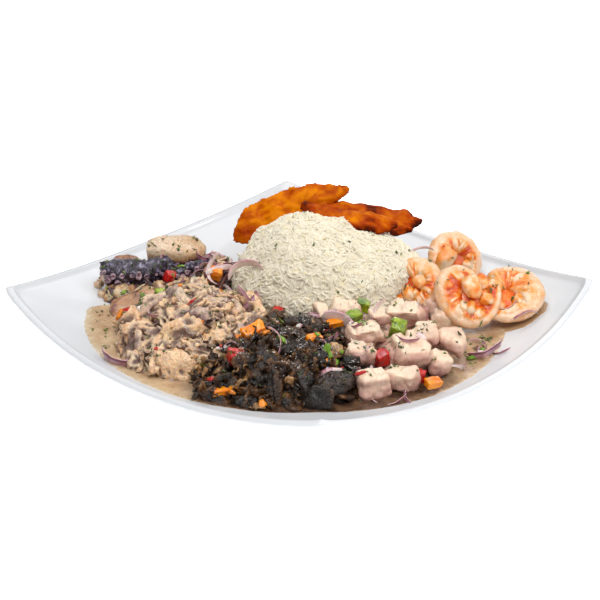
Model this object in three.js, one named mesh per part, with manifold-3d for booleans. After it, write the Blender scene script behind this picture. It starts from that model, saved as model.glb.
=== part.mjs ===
// Ceviche platter: a deep square porcelain plate seen corner to corner, filled with a dome of
// boiled rice, fried plantain slices, curled shrimps, octopus, a heap of shredded crab, a heap of
// black clams in their dark juice and cubes of fish, with diced peppers, red onion and marinade.
// Millimetres, +Z up. The origin is on the table under the middle of the plate, +X runs to one
// corner of the plate and -Y to the corner nearest to the guest.

import * as THREE from "three";
import { mergeVertices } from "three/addons/utils/BufferGeometryUtils.js";
import Module from "manifold-3d";

const wasm = await Module();
wasm.setup();

// ---- Driving dimensions -------------------------------------------------------------------

const GROWTH = 0.5; // how far a cutter is grown, so that a piece clears its neighbours
const BED_CLEARANCE = 0.9; // under heaps and liquid, more than the sag of the plate's facets

const PLATE = {
  cornerReach: 197.2, // centre to corner, in plan
  edgeBulge: 19, // how far each side bows out past the straight line between its corners
  cornerSharpness: 70, // higher is a sharper corner
  cornerRim: 45, // height of the rim at a corner
  edgeDip: 16.7, // how much lower the rim is in the middle of a side
  dipPower: 2.2,
  wellFloor: 7.5, // height of the eating surface at the centre
  wallPower: 2.5, // how the surface curves up from the floor to the rim
  thickness: 4.5,
  lipWidth: 5,
  lipRise: 0.9, // step from the eating surface up to the lip
  lipDepth: 5.5, // height of the lip's outer face
  lipRound: [1.2, 1.4], // how far the lip's outer edge is rounded off, inwards and down
  lipTuck: 0.8, // how far the lip's outer face leans in towards its foot
  footRadius: 88,
  footWidth: 6,
  footFlare: 2, // how much wider the foot ring is where it joins the plate
  surfaceRings: [0.25, 0.48, 0.68, 0.85, 1], // facets from the centre out to the lip
  undersideRings: [0.93, 0.76],
  sideSteps: 12, // facets along one side
};

const MARINADE = {
  level: 24, // height of the liquid above the table
  backEdge: 22, // the pool ends under the food at this y
  shallowest: 0.3, // depth at its edge
  sectors: 30,
  rings: 3,
};

const RICE = {
  at: [16, 31],
  radius: [65, 62],
  top: 74, // height of the dome's top above the table
  bulk: 3.4, // higher gives steeper sides and a flatter top
  sectors: 24,
  rings: 5,
};

const CRAB_HEAP = { at: [-72, -37], radius: [51, 61], top: 45, bulk: 2.6, sectors: 18, rings: 4 };
const CLAM_HEAP = { at: [-15, -86], radius: [63, 57], top: 42, bulk: 2.4, sectors: 18, rings: 4 };
const OCTOPUS_BED = { at: [-93, 42], radius: [45, 38], top: 28, bulk: 2.4, sectors: 14, rings: 3 };
const FISH_BED = { at: [52, -84], radius: [50, 54], top: 34, bulk: 2.2, sectors: 14, rings: 3 };

// How high the bumps on each heap are, and how much each of them waves the heap's outline,
// given as waves round the heap and their share of its radius for each millimetre of bump.
const HEAP_UNEVENNESS = { rice: 1.2, crab: 3.2, clams: 2.6, octopus: 1, fish: 1 };
const OUTLINE_WAVES = [
  { count: 3, share: 0.02 },
  { count: 7, share: 0.012 },
];

// Plantain: middle, length, width and thickness, how blunt the ends are, how much one end
// narrows, turns about Z, Y (slope) and X (lean) in degrees, and how far the slice bends.
const PLANTAINS = [
  {
    name: "plantain_left",
    at: [-3, 84, 60],
    size: [92, 31, 8],
    blunt: 2.2,
    taper: 0.45,
    turn: 9,
    slope: -21,
    lean: 52,
    bend: 5,
  },
  {
    name: "plantain_front",
    at: [36, 58, 69],
    size: [66, 20, 9],
    blunt: 3.5,
    taper: -0.25,
    turn: -14,
    slope: 8,
    lean: 20,
    bend: -4,
  },
  {
    name: "plantain_back",
    at: [54, 79, 61],
    size: [72, 27, 8],
    blunt: 3.5,
    taper: -0.15,
    turn: -5,
    slope: 8,
    lean: 24,
    bend: -3,
  },
];
const PLANTAIN_STEPS = 10;
const PLANTAIN_SIDES = 8;
const PLANTAIN_RAGGED = [0.12, 0.06]; // coarse and fine waves of its edge, as shares of its width
const PLANTAIN_WARP = 1.6; // waves of its middle, up and down

// Shrimp: middle of the curl, its outer radius, body thickness at the head end and at the tail,
// how far it curls and where the tail starts in degrees, how far the curl leans back and turns,
// and how far it winds out of its plane.
const SHRIMPS = [
  {
    name: "shrimp_front",
    at: [108, -21, 40],
    reach: 25,
    body: [15, 10],
    curl: 390,
    start: -20,
    lean: 47,
    yaw: 3,
    drift: 6,
  },
  {
    name: "shrimp_back",
    at: [112, 58, 35],
    reach: 20,
    body: [14, 9],
    curl: -290,
    start: 280,
    lean: 56,
    yaw: 8,
    drift: 2,
  },
  {
    name: "shrimp_left",
    at: [75, 1, 41],
    reach: 19.5,
    body: [14, 9],
    curl: 300,
    start: 205,
    lean: 40,
    yaw: -22,
    drift: 3,
  },
  {
    name: "shrimp_right",
    at: [137, -8, 38],
    reach: 24,
    body: [15, 9],
    curl: -290,
    start: 170,
    lean: 24,
    yaw: -18,
    drift: 1,
  },
  {
    name: "shrimp_under",
    at: [143, 10, 36],
    reach: 20,
    body: [12, 8],
    curl: -240,
    start: 130,
    lean: 14,
    yaw: 10,
    drift: 1,
  },
];
const SHRIMP_SIDES = 8;
const SHRIMP_STEPS = 11;
const SHRIMP_FLATNESS = 0.92; // height of the body's section over its width
const SHRIMP_TUCK = 1.25; // how far in the head end lies under a full turn, in body widths

// Octopus arms: points along the middle of the arm, thickness at the first and last point.
const OCTOPUS_ARM = {
  path: [[-137, 46, 36], [-124, 44, 33], [-105, 53, 30], [-88, 66, 30], [-70, 76, 29]],
  thickness: [25, 15],
  rows: [-1, 1],
  steps: 11,
};
const OCTOPUS_CURL = {
  path: [[-92, 48, 27], [-78, 55, 31], [-62, 54, 36], [-54, 45, 37], [-55, 33, 33]],
  thickness: [10, 8],
  rows: [0],
  steps: 9,
};
const ARM_SIDES = 8;
const ARM_ROOM = 3.4; // extra radius round an arm that its suckers need

// Suckers: size on the thickest part, distance along the arm, the angle between their rows and
// how far the rows lie below the arm's front, in degrees, and how deep each sits in the skin.
const SUCKER = { radius: 3.6, height: 2.2, pitch: 13, spread: 32, droop: 12, sunk: 0.4, sides: 5 };

// Lumps: rounded pieces given by middle, size along X, Y and Z, turn and tilts in degrees.
// The higher `square` is, the boxier the lump.
const OCTOPUS_PIECES = [
  {
    name: "octopus_head",
    at: [-83, 73, 39.5],
    size: [43, 24, 15],
    turn: 6,
    tilt: [14, 6],
    square: 2.6,
  },
  {
    name: "octopus_slice_front",
    at: [-106, 6, 27],
    size: [44, 26, 7],
    turn: 16,
    tilt: [22, -6],
    square: 3,
  },
  {
    name: "octopus_slice_back",
    at: [-117, 74, 28.5],
    size: [24, 14, 9],
    turn: -14,
    tilt: [10, 4],
    square: 2.6,
  },
];

const FISH_CUBES = [
  { at: [35, -74, 43], size: [22, 17, 12], turn: 12, tilt: [8, -6] },
  { at: [31, -93, 38], size: [19, 18, 15], turn: -9, tilt: [10, 4] },
  { at: [36, -121, 31], size: [18, 15, 15], turn: 14, tilt: [6, -5] },
  { at: [53, -114, 32], size: [19, 15, 12], turn: -22, tilt: [9, 8] },
  { at: [62, -94, 39], size: [24, 20, 14], turn: 20, tilt: [12, 7] },
  { at: [63, -50, 45], size: [23, 17, 14], turn: -16, tilt: [16, -5] },
  { at: [73, -71, 43], size: [14, 11, 9], turn: 34, tilt: [10, 4] },
  { at: [68, -78, 41], size: [23, 10, 8], turn: 8, tilt: [30, -4] },
  { at: [26, -34, 40], size: [17, 12, 11], turn: -8, tilt: [14, 6] },
  { at: [46, -54, 44], size: [14, 10, 9], turn: 22, tilt: [12, 3] },
  { at: [91, -74, 34], size: [18, 15, 13], turn: -30, tilt: [8, 8] },
  { at: [81, -92, 31], size: [13, 16, 10], turn: 10, tilt: [6, 10] },
  { at: [11, -37, 38], size: [9, 13, 12], turn: 14, tilt: [18, 0] },
];

const CLAMS = [
  { name: "clam_front", at: [13, -124, 33], size: [28, 20, 14], turn: 12, tilt: [8, -6] },
  { name: "clam_right", at: [11, -96, 40], size: [17, 13, 11], turn: -24, tilt: [20, 10] },
  { name: "clam_middle", at: [-16, -92, 42], size: [20, 15, 10], turn: 30, tilt: [12, 4] },
  { name: "clam_back", at: [-6, -58, 42], size: [22, 14, 9], turn: -12, tilt: [10, -6] },
];

const PEPPER_COLOURS = { red: 0xb31212, orange: 0xe2800f, green: 0x6f9a1e };

// Diced pepper and chilli, by colour.
const PEPPERS = {
  red: [
    { at: [-46, -100, 40], size: [11, 9, 9], turn: 15, tilt: [20, 8] },
    { at: [-88, 44, 31], size: [8, 7, 7], turn: 20, tilt: [10, 20] },
    { at: [-115, -18, 32], size: [9, 7, 6], turn: 8, tilt: [24, 0] },
    { at: [-17, -23, 35], size: [8, 6, 5], turn: -24, tilt: [12, 6] },
    { at: [43, -102, 38], size: [9, 7, 10], turn: 28, tilt: [10, -12] },
    { at: [66, -112, 31], size: [7, 6, 8], turn: -10, tilt: [8, 10] },
  ],
  orange: [
    { at: [-35, -74, 44], size: [15, 8, 8], turn: 34, tilt: [18, -10] },
    { at: [-57, 31, 39], size: [9, 6, 9], turn: -20, tilt: [16, 16] },
    { at: [3, -84, 43], size: [10, 6, 6], turn: 30, tilt: [10, 0] },
    { at: [18, -60, 43], size: [12, 6, 5], turn: 16, tilt: [14, -6] },
    { at: [73, -118, 29], size: [10, 7, 5], turn: 22, tilt: [6, 4] },
    { at: [-53, -124, 29], size: [19, 5, 5], turn: 24, tilt: [6, 4] },
  ],
  green: [
    { at: [56, -74, 44], size: [9, 10, 12], turn: -18, tilt: [22, 12] },
    { at: [28, -54, 44], size: [16, 8, 6], turn: 24, tilt: [12, -8] },
    { at: [38, -33, 43], size: [9, 7, 7], turn: -14, tilt: [10, 8] },
    { at: [-93, 2, 37], size: [9, 7, 5], turn: 24, tilt: [18, 6] },
  ],
};

// Slices of red onion: arcs of a ring, by middle of the ring, radius, height, the angle where
// the arc starts and how far it runs, and tilts.
const ONIONS = [
  {
    name: "onion_rice",
    at: [-37, 3, 48],
    radius: 12,
    height: 7,
    from: 15,
    arc: 150,
    tilt: [40, -10],
  },
  {
    name: "onion_fish",
    at: [15, -72, 42],
    radius: 15,
    height: 8,
    from: 20,
    arc: 95,
    tilt: [24, 8],
  },
  {
    name: "onion_crab",
    at: [-113, -62, 29],
    radius: 17,
    height: 6,
    from: 185,
    arc: 110,
    tilt: [14, 0],
  },
  {
    name: "onion_shrimp",
    at: [108, -58, 30],
    radius: 17,
    height: 5,
    from: 245,
    arc: 95,
    tilt: [16, -6],
  },
];
const ONION_THICKNESS = 2.6;
const ONION_STEPS = 7;

// Each kind's first seed: its pieces take the numbers that follow.
const SEEDS = { plantain: 5, octopus: 9, fish: 20, clam: 40, pepper: 60 };

// ---- Plate surface ------------------------------------------------------------------------

const DEGREE = Math.PI / 180;
const QUARTER = Math.PI / 2;
const HALF_SIDE = PLATE.cornerReach / Math.SQRT2;
const SIDE_RADIUS = (HALF_SIDE ** 2 + PLATE.edgeBulge ** 2) / (2 * PLATE.edgeBulge);
const SIDE_CENTRE = HALF_SIDE + PLATE.edgeBulge - SIDE_RADIUS;

// Distance from the centre to the arc of the side whose middle lies `turn` away.
function sideDistance(turn) {
  const across = SIDE_CENTRE * Math.sin(turn);
  return SIDE_CENTRE * Math.cos(turn) + Math.sqrt(SIDE_RADIUS ** 2 - across ** 2);
}

// The angle between a direction and the middle of the nearest side, from -45 to 45 degrees.
function turnFromSide(angle) {
  const wrapped = ((angle % QUARTER) + QUARTER) % QUARTER;
  return wrapped - QUARTER / 2;
}

// Outline of the plate in plan: the nearer of two bowed sides, blended softly at the corner.
function plateReach(angle) {
  const turn = turnFromSide(angle);
  const near = sideDistance(turn);
  const next = sideDistance(QUARTER - Math.abs(turn));
  const power = PLATE.cornerSharpness;
  return (near ** -power + next ** -power) ** (-1 / power);
}

function rimHeight(angle) {
  const turn = turnFromSide(angle);
  const along = Math.min(1, Math.abs(sideDistance(turn) * Math.sin(turn)) / HALF_SIDE);
  return PLATE.cornerRim - PLATE.edgeDip * (1 - along ** PLATE.dipPower);
}

// Height of the eating surface over a point of the table.
function plateHeight(x, y) {
  const angle = Math.atan2(y, x);
  const reach = Math.hypot(x, y) / plateReach(angle);
  const rise = rimHeight(angle) - PLATE.lipRise - PLATE.wellFloor;
  return PLATE.wellFloor + rise * Math.min(1, reach) ** PLATE.wallPower;
}

// ---- Mesh building ------------------------------------------------------------------------

// A closed surface from rings of points. Each ring has the same number of points, or one point
// where the surface closes on itself. Rings run from the top down, points counter-clockwise.
function ringGeometry(rings) {
  const positions = [];
  const starts = rings.map((ring) => {
    const start = positions.length / 3;
    ring.forEach((point) => positions.push(...point));
    return start;
  });
  const faces = [];
  for (let k = 0; k + 1 < rings.length; k++) {
    const count = Math.max(rings[k].length, rings[k + 1].length);
    for (let i = 0; i < count; i++) {
      const next = (i + 1) % count;
      const upper = (j) => starts[k] + (rings[k].length === 1 ? 0 : j);
      const lower = (j) => starts[k + 1] + (rings[k + 1].length === 1 ? 0 : j);
      if (rings[k + 1].length > 1) faces.push(upper(i), lower(i), lower(next));
      if (rings[k].length > 1) faces.push(upper(i), lower(next), upper(next));
    }
  }
  return new THREE.BufferGeometry()
    .setAttribute("position", new THREE.Float32BufferAttribute(positions, 3))
    .setIndex(faces);
}

// A smooth unevenness between about -1 and 1.
function ripple(x, y, z, seed) {
  const a = Math.sin(0.31 * x + 0.17 * y + 1.7 * seed);
  const b = Math.sin(0.23 * y - 0.29 * z + 2.3 * seed + 1);
  const c = Math.sin(0.53 * x - 0.41 * y + 0.37 * z + 3.1 * seed + 2);
  return 0.45 * a + 0.35 * b + 0.3 * c;
}

function mapVertices(geometry, change) {
  const position = geometry.getAttribute("position");
  const point = new THREE.Vector3();
  for (let i = 0; i < position.count; i++) {
    point.fromBufferAttribute(position, i);
    change(point);
    position.setXYZ(i, point.x, point.y, point.z);
  }
  return geometry;
}

function material(colour, roughness) {
  return new THREE.MeshStandardMaterial({ color: colour, roughness, metalness: 0 });
}

// ---- Plate and marinade -------------------------------------------------------------------

// Directions round the plate, closer together near the corners, where the outline turns.
function plateDirections() {
  const directions = [];
  for (let corner = 0; corner < 4; corner++)
    for (let k = 0; k < PLATE.sideSteps; k++) {
      const s = (2 * k) / PLATE.sideSteps - 1;
      directions.push(corner * QUARTER + (QUARTER / 2) * (0.5 * s + 0.5 * s ** 3));
    }
  return directions;
}

function plateGeometry() {
  const { lipWidth, lipRise, lipDepth, lipRound, lipTuck, thickness, wellFloor } = PLATE;
  const { footRadius, footWidth, footFlare, surfaceRings, undersideRings } = PLATE;
  const directions = plateDirections();
  const ring = (place) =>
    directions.map((angle) => {
      const [radius, z] = place(angle, plateReach(angle), rimHeight(angle));
      return [radius * Math.cos(angle), radius * Math.sin(angle), z];
    });
  const surface = (angle, radius) =>
    plateHeight(radius * Math.cos(angle), radius * Math.sin(angle));
  const underside = (angle, radius) => surface(angle, radius) - thickness;
  const upper = surfaceRings.map((share) =>
    ring((angle, reach) => {
      const radius = share * (reach - lipWidth);
      return [radius, surface(angle, radius)];
    }),
  );
  const lip = [
    ring((angle, reach, rim) => [reach - lipWidth + lipRise, rim]),
    ring((angle, reach, rim) => [reach - lipRound[0], rim]),
    ring((angle, reach, rim) => [reach, rim - lipRound[1]]),
    ring((angle, reach, rim) => [reach - lipTuck, rim - lipDepth]),
  ];
  const under = undersideRings.map((share) =>
    ring((angle, reach) => [share * reach, underside(angle, share * reach)]),
  );
  const foot = [
    ring((angle) => [footRadius + footFlare, underside(angle, footRadius + footFlare)]),
    ring(() => [footRadius, 0]),
    ring(() => [footRadius - footWidth, 0]),
    ring(() => [footRadius - footWidth - footFlare, wellFloor - thickness]),
  ];
  return ringGeometry([
    [[0, 0, wellFloor]],
    ...upper,
    ...lip,
    ...under,
    ...foot,
    [[0, 0, wellFloor - thickness]],
  ]);
}

// How far the marinade reaches in a direction: up to where the plate rises through its level,
// and at the back only as far as the food that covers its edge.
function marinadeReach(angle) {
  const rise = rimHeight(angle) - PLATE.lipRise - PLATE.wellFloor;
  const depth = MARINADE.level - BED_CLEARANCE - PLATE.wellFloor;
  const shore = (depth / rise) ** (1 / PLATE.wallPower) * plateReach(angle);
  const back = MARINADE.backEdge / Math.max(Math.sin(angle), 1e-6);
  return Math.min(shore, back);
}

function marinadeGeometry() {
  const { sectors, rings, level, shallowest } = MARINADE;
  const ring = (share, height) =>
    Array.from({ length: sectors }, (_, i) => {
      const angle = (i * 2 * Math.PI) / sectors;
      const radius = share * marinadeReach(angle);
      const [x, y] = [radius * Math.cos(angle), radius * Math.sin(angle)];
      return [x, y, height(x, y)];
    });
  const bottom = (x, y) => Math.min(plateHeight(x, y) + BED_CLEARANCE, level - shallowest);
  const lower = Array.from({ length: rings }, (_, k) => ring(1 - k / rings, bottom));
  return ringGeometry([[[0, 0, level]], ring(1, () => level), ...lower, [[0, 0, bottom(0, 0)]]]);
}

// ---- Heaps --------------------------------------------------------------------------------

// A heap standing on the plate: `bulk` sets how steep its side is, `unevenness` how lumpy.
function heapMesh(name, heap, unevenness, seed, finish) {
  const { at, radius, top, bulk, sectors, rings } = heap;
  const base = plateHeight(at[0], at[1]) + BED_CLEARANCE;
  const ring = (share, height) =>
    Array.from({ length: sectors }, (_, i) => {
      const angle = (i * 2 * Math.PI) / sectors;
      const waves = OUTLINE_WAVES.map((wave, k) =>
        wave.share * unevenness * Math.sin(wave.count * angle + (k + 1) * seed),
      );
      const reach = share * (1 + waves[0] + waves[1]);
      const x = reach * radius[0] * Math.cos(angle);
      const y = reach * radius[1] * Math.sin(angle);
      return [x, y, height(x, y, share)];
    });
  const floor = (x, y) => plateHeight(at[0] + x, at[1] + y) + BED_CLEARANCE;
  const crest = (x, y, share) => {
    const dome = Math.sqrt(1 - share ** bulk);
    const bump = unevenness * ripple(0.8 * x, 0.8 * y, 0, seed) * Math.min(1, 2 * (1 - share));
    return Math.max(floor(x, y) + 1, base + (top - base) * dome + bump);
  };
  const upper = Array.from({ length: rings }, (_, k) => {
    const share = Math.sin(((k + 1) * QUARTER) / rings);
    return ring(share, crest);
  });
  const lower = [1, 0.6].map((share) => ring(share, floor));
  const geometry = ringGeometry([
    [[0, 0, crest(0, 0, 0)]],
    ...upper,
    ...lower,
    [[0, 0, floor(0, 0)]],
  ]);
  const mesh = new THREE.Mesh(geometry, finish);
  mesh.name = name;
  mesh.position.set(at[0], at[1], 0);
  return mesh;
}

// ---- Lumps, cubes and dice ----------------------------------------------------------------

function place(mesh, { at, turn = 0, tilt = [0, 0] }) {
  mesh.position.set(...at);
  mesh.rotation.set(tilt[0] * DEGREE, tilt[1] * DEGREE, turn * DEGREE, "ZYX");
  return mesh;
}

// An uneven rounded block. `square` 2 gives an egg, 8 nearly a box.
function lumpMesh(name, spec, { square, segments, unevenness, seed }, finish) {
  const block = new THREE.BoxGeometry(2, 2, 2, segments, segments, segments);
  const geometry = mapVertices(block, (point) => {
    const norm = (Math.abs(point.x) ** square + Math.abs(point.y) ** square +
      Math.abs(point.z) ** square) ** (1 / square);
    const swell = 1 + unevenness * ripple(7 * point.x, 7 * point.y, 7 * point.z, seed);
    point.multiplyScalar(swell / norm);
    point.set(point.x * spec.size[0], point.y * spec.size[1], point.z * spec.size[2]);
    point.multiplyScalar(0.5);
  });
  const mesh = new THREE.Mesh(geometry, finish);
  mesh.name = name;
  return place(mesh, spec);
}

// ---- Long and curled pieces ---------------------------------------------------------------

// A closed skin round a spine. At each step `spine` gives the middle, the two directions across
// and the half widths along them; the ends close on a point.
function skinGeometry(steps, sides, spine) {
  const rings = [];
  for (let k = 0; k <= steps; k++) {
    const { middle, across, up, half } = spine(k / steps);
    if (k === 0 || k === steps) {
      rings.push([middle.toArray()]);
      continue;
    }
    rings.push(
      Array.from({ length: sides }, (_, i) => {
        const angle = (i * 2 * Math.PI) / sides;
        return middle
          .clone()
          .addScaledVector(across, half[0] * Math.cos(angle))
          .addScaledVector(up, half[1] * Math.sin(angle))
          .toArray();
      }),
    );
  }
  return ringGeometry(rings);
}

// Rounds a width off towards both ends of a piece.
function roundedEnd(share, bluntness) {
  const fromMiddle = Math.abs(2 * share - 1);
  return Math.sqrt(Math.max(0, 1 - fromMiddle ** bluntness));
}

// A peeled shrimp: a body that tapers to the tail, curled in a flat spiral. The tail is the
// outer end, and the thick head end turns in towards the middle.
function shrimpMesh(spec, finish) {
  const { reach, curl, start, drift } = spec;
  const [head, tail] = spec.body;
  const outer = reach - tail / 2;
  const inner = Math.abs(curl) > 360 ? reach - SHRIMP_TUCK * head : reach - head / 2;
  const side = Math.sign(curl);
  const geometry = skinGeometry(SHRIMP_STEPS, SHRIMP_SIDES, (share) => {
    const angle = (start + curl * share) * DEGREE;
    const radius = THREE.MathUtils.lerp(outer, inner, share ** 2);
    const out = new THREE.Vector3(Math.cos(angle), Math.sin(angle), 0);
    const middle = out.clone().multiplyScalar(radius);
    middle.z = drift * (share ** 2 - 0.3);
    const width = THREE.MathUtils.lerp(tail, head, share ** 0.8) * roundedEnd(share, 9);
    const up = new THREE.Vector3(0, 0, side);
    return { middle, across: out, up, half: [width / 2, (SHRIMP_FLATNESS * width) / 2] };
  });
  const mesh = new THREE.Mesh(outward(geometry), finish);
  mesh.name = spec.name;
  return place(mesh, { at: spec.at, turn: spec.yaw, tilt: [spec.lean, 0] });
}

// Turns a closed surface the right way out, whichever way its spine ran.
function outward(geometry) {
  const index = geometry.getIndex();
  const position = geometry.getAttribute("position");
  const [a, b, c] = [new THREE.Vector3(), new THREE.Vector3(), new THREE.Vector3()];
  let volume = 0;
  for (let i = 0; i < index.count; i += 3) {
    a.fromBufferAttribute(position, index.getX(i));
    b.fromBufferAttribute(position, index.getX(i + 1));
    c.fromBufferAttribute(position, index.getX(i + 2));
    volume += a.dot(b.cross(c));
  }
  if (volume < 0)
    for (let i = 0; i < index.count; i += 3) {
      const second = index.getX(i + 1);
      index.setX(i + 1, index.getX(i + 2));
      index.setX(i + 2, second);
    }
  return geometry;
}

// A frame along a curve: the middle, the level direction across it and the one above.
function curveFrame(curve, share) {
  const middle = curve.getPoint(share);
  const along = curve.getTangent(share);
  const across = new THREE.Vector3(0, 0, 1).cross(along).normalize();
  const up = along.clone().cross(across);
  return { middle, across, up };
}

// The tapering body of an octopus arm, made fatter by `extra` all round.
function armBody(arm, curve, extra) {
  return skinGeometry(arm.steps, ARM_SIDES, (share) => {
    const half = (armWidth(arm, share) * roundedEnd(share, 14)) / 2 + extra;
    return { ...curveFrame(curve, share), half: [half, half] };
  });
}

function armWidth(arm, share) {
  return THREE.MathUtils.lerp(...arm.thickness, share);
}

// One sucker: a short cone that stands on the arm, `lift` radians above its front.
function suckerGeometry(arm, curve, share, lift) {
  const { middle, across, up } = curveFrame(curve, share);
  const out = across.multiplyScalar(-Math.cos(lift)).addScaledVector(up, Math.sin(lift));
  const width = armWidth(arm, share);
  const scale = width / arm.thickness[0];
  const { radius, height, sides } = SUCKER;
  const cone = new THREE.CylinderGeometry(
    0.75 * radius * scale,
    radius * scale,
    2 * height * scale,
    sides,
  );
  cone.applyQuaternion(new THREE.Quaternion().setFromUnitVectors(new THREE.Vector3(0, 1, 0), out));
  const seat = middle.addScaledVector(out, width / 2 - SUCKER.sunk);
  return cone.translate(seat.x, seat.y, seat.z);
}

// An octopus arm with its rows of suckers along the front. It takes the room of a plain arm
// that is fatter all round.
function armMesh(name, arm, finish) {
  const curve = new THREE.CatmullRomCurve3(arm.path.map((p) => new THREE.Vector3(...p)));
  const count = Math.floor(curve.getLength() / SUCKER.pitch) - 1;
  let solid = solidFrom(outward(armBody(arm, curve, 0)));
  for (let k = 1; k <= count; k++)
    for (const row of arm.rows) {
      const share = (k + 0.25 * row) / (count + 1);
      const lift = (row * SUCKER.spread - SUCKER.droop) * DEGREE;
      solid = solid.add(solidFrom(suckerGeometry(arm, curve, share, lift)));
    }
  const mesh = new THREE.Mesh(geometryFrom(solid), finish);
  mesh.name = name;
  mesh.userData.room = outward(armBody(arm, curve, ARM_ROOM));
  return mesh;
}

// A slice of fried plantain: long, flat, bent along its length, with a ragged edge.
function plantainMesh(spec, seed, finish) {
  const [length, width, thickness] = spec.size;
  const geometry = skinGeometry(PLANTAIN_STEPS, PLANTAIN_SIDES, (share) => {
    const along = (share - 0.5) * length;
    const coarse = PLANTAIN_RAGGED[0] * ripple(along, 20, 0, seed);
    const fine = PLANTAIN_RAGGED[1] * ripple(3 * along, 0, 9, seed);
    const ragged = 1 + coarse + fine;
    const middle = new THREE.Vector3(
      along,
      spec.bend * (1 - 4 * (share - 0.5) ** 2),
      PLANTAIN_WARP * ripple(0.8 * along, 5, 5, seed),
    );
    const shrink = roundedEnd(share, spec.blunt) * (1 - spec.taper * (share - 0.5));
    return {
      middle,
      across: new THREE.Vector3(0, -1, 0),
      up: new THREE.Vector3(0, 0, 1),
      half: [(width / 2) * ragged * shrink, (thickness / 2) * Math.max(shrink, 0.3) * ragged],
    };
  });
  const mesh = new THREE.Mesh(outward(geometry), finish);
  mesh.name = spec.name;
  return place(mesh, { at: spec.at, turn: spec.turn, tilt: [spec.lean, spec.slope] });
}

// A slice of onion: part of a ring, standing a few millimetres high.
function onionMesh(spec, finish) {
  const { radius, height, from, arc } = spec;
  const outline = new THREE.Shape();
  const [a, b] = [from * DEGREE, (from + arc) * DEGREE];
  outline.absarc(0, 0, radius, a, b, false);
  outline.absarc(0, 0, radius - ONION_THICKNESS, b, a, true);
  const geometry = new THREE.ExtrudeGeometry(outline, {
    depth: height,
    bevelEnabled: false,
    curveSegments: ONION_STEPS,
  });
  geometry.translate(0, 0, -height / 2);
  const mesh = new THREE.Mesh(geometry, finish);
  mesh.name = spec.name;
  return place(mesh, spec);
}

// ---- Joining and cutting ------------------------------------------------------------------

// Moves each vertex outwards by `distance`. The direction out of a vertex is the mean of its
// faces' normals, each counted by the face's angle there, so that a box grows evenly.
function grow(geometry, distance) {
  const position = geometry.getAttribute("position");
  const index = geometry.getIndex();
  const directions = Array.from({ length: position.count }, () => new THREE.Vector3());
  for (let i = 0; i < index.count; i += 3) {
    const ids = [0, 1, 2].map((k) => index.getX(i + k));
    const corners = ids.map((id) => new THREE.Vector3().fromBufferAttribute(position, id));
    const normal = new THREE.Triangle(...corners).getNormal(new THREE.Vector3());
    ids.forEach((id, k) => {
      const toNext = corners[(k + 1) % 3].clone().sub(corners[k]);
      const toLast = corners[(k + 2) % 3].clone().sub(corners[k]);
      directions[id].addScaledVector(normal, toNext.angleTo(toLast));
    });
  }
  directions.forEach((direction, id) => {
    const point = new THREE.Vector3().fromBufferAttribute(position, id);
    point.addScaledVector(direction.normalize(), distance);
    position.setXYZ(id, point.x, point.y, point.z);
  });
}

// A closed geometry as a solid. `growth` moves each vertex outwards by that much first.
function solidFrom(geometry, matrix = new THREE.Matrix4(), growth = 0) {
  const loose = geometry.index ? geometry.toNonIndexed() : geometry;
  const bare = new THREE.BufferGeometry()
    .setAttribute("position", loose.getAttribute("position").clone())
    .applyMatrix4(matrix);
  const merged = mergeVertices(bare, 1e-3);
  if (growth) grow(merged, growth);
  return new wasm.Manifold(
    new wasm.Mesh({
      numProp: 3,
      vertProperties: merged.getAttribute("position").array,
      triVerts: new Uint32Array(merged.index.array),
    }),
  );
}

function geometryFrom(solid) {
  const { vertProperties, triVerts } = solid.getMesh();
  return new THREE.BufferGeometry()
    .setAttribute("position", new THREE.BufferAttribute(vertProperties, 3))
    .setIndex(new THREE.BufferAttribute(triVerts, 1));
}

// Cuts room for the cutters out of a mesh, and keeps the largest piece of what is left. Gives
// back the other pieces.
function makeRoom(mesh, cutters) {
  const before = solidFrom(mesh.geometry, mesh.matrixWorld);
  let solid = before;
  for (const cutter of cutters) {
    if (before.intersect(cutter).volume() > 0) solid = solid.subtract(cutter);
  }
  if (solid === before) return [];
  const [largest, ...others] = solid.decompose().sort((a, b) => b.volume() - a.volume());
  const back = mesh.matrixWorld.clone().invert();
  mesh.geometry = geometryFrom(largest).applyMatrix4(back);
  return others;
}

// ---- The platter --------------------------------------------------------------------------

function platePiece() {
  const mesh = new THREE.Mesh(plateGeometry(), material(0xf0f1f1, 0.18));
  mesh.name = "plate";
  return mesh;
}

function marinadePiece() {
  const mesh = new THREE.Mesh(marinadeGeometry(), material(0xb08a62, 0.2));
  mesh.name = "marinade";
  return mesh;
}

// The liquid at the left of the food, which the food cuts off from the rest of the pool.
function leftMarinadePiece(solids, finish) {
  const leftEdge = (solid) => solid.boundingBox().min[0];
  const [left] = solids.sort((a, b) => leftEdge(a) - leftEdge(b));
  const mesh = new THREE.Mesh(geometryFrom(left), finish);
  mesh.name = "marinade_left";
  return mesh;
}

function heapPieces() {
  return [
    heapMesh("rice_mound", RICE, HEAP_UNEVENNESS.rice, 1, material(0xece4d0, 0.6)),
    heapMesh("crab_heap", CRAB_HEAP, HEAP_UNEVENNESS.crab, 2, material(0xd6b596, 0.55)),
    heapMesh("clam_heap", CLAM_HEAP, HEAP_UNEVENNESS.clams, 3, material(0x2a2320, 0.3)),
    heapMesh("octopus_bed", OCTOPUS_BED, HEAP_UNEVENNESS.octopus, 5, material(0xb59590, 0.45)),
    heapMesh("fish_bed", FISH_BED, HEAP_UNEVENNESS.fish, 4, material(0xcfae98, 0.45)),
  ];
}

function plantainPieces() {
  const colours = [0xd9820f, 0xc56a0c, 0xb0560a];
  return PLANTAINS.map((spec, i) =>
    plantainMesh(spec, SEEDS.plantain + i, material(colours[i], 0.4)),
  );
}

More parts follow.
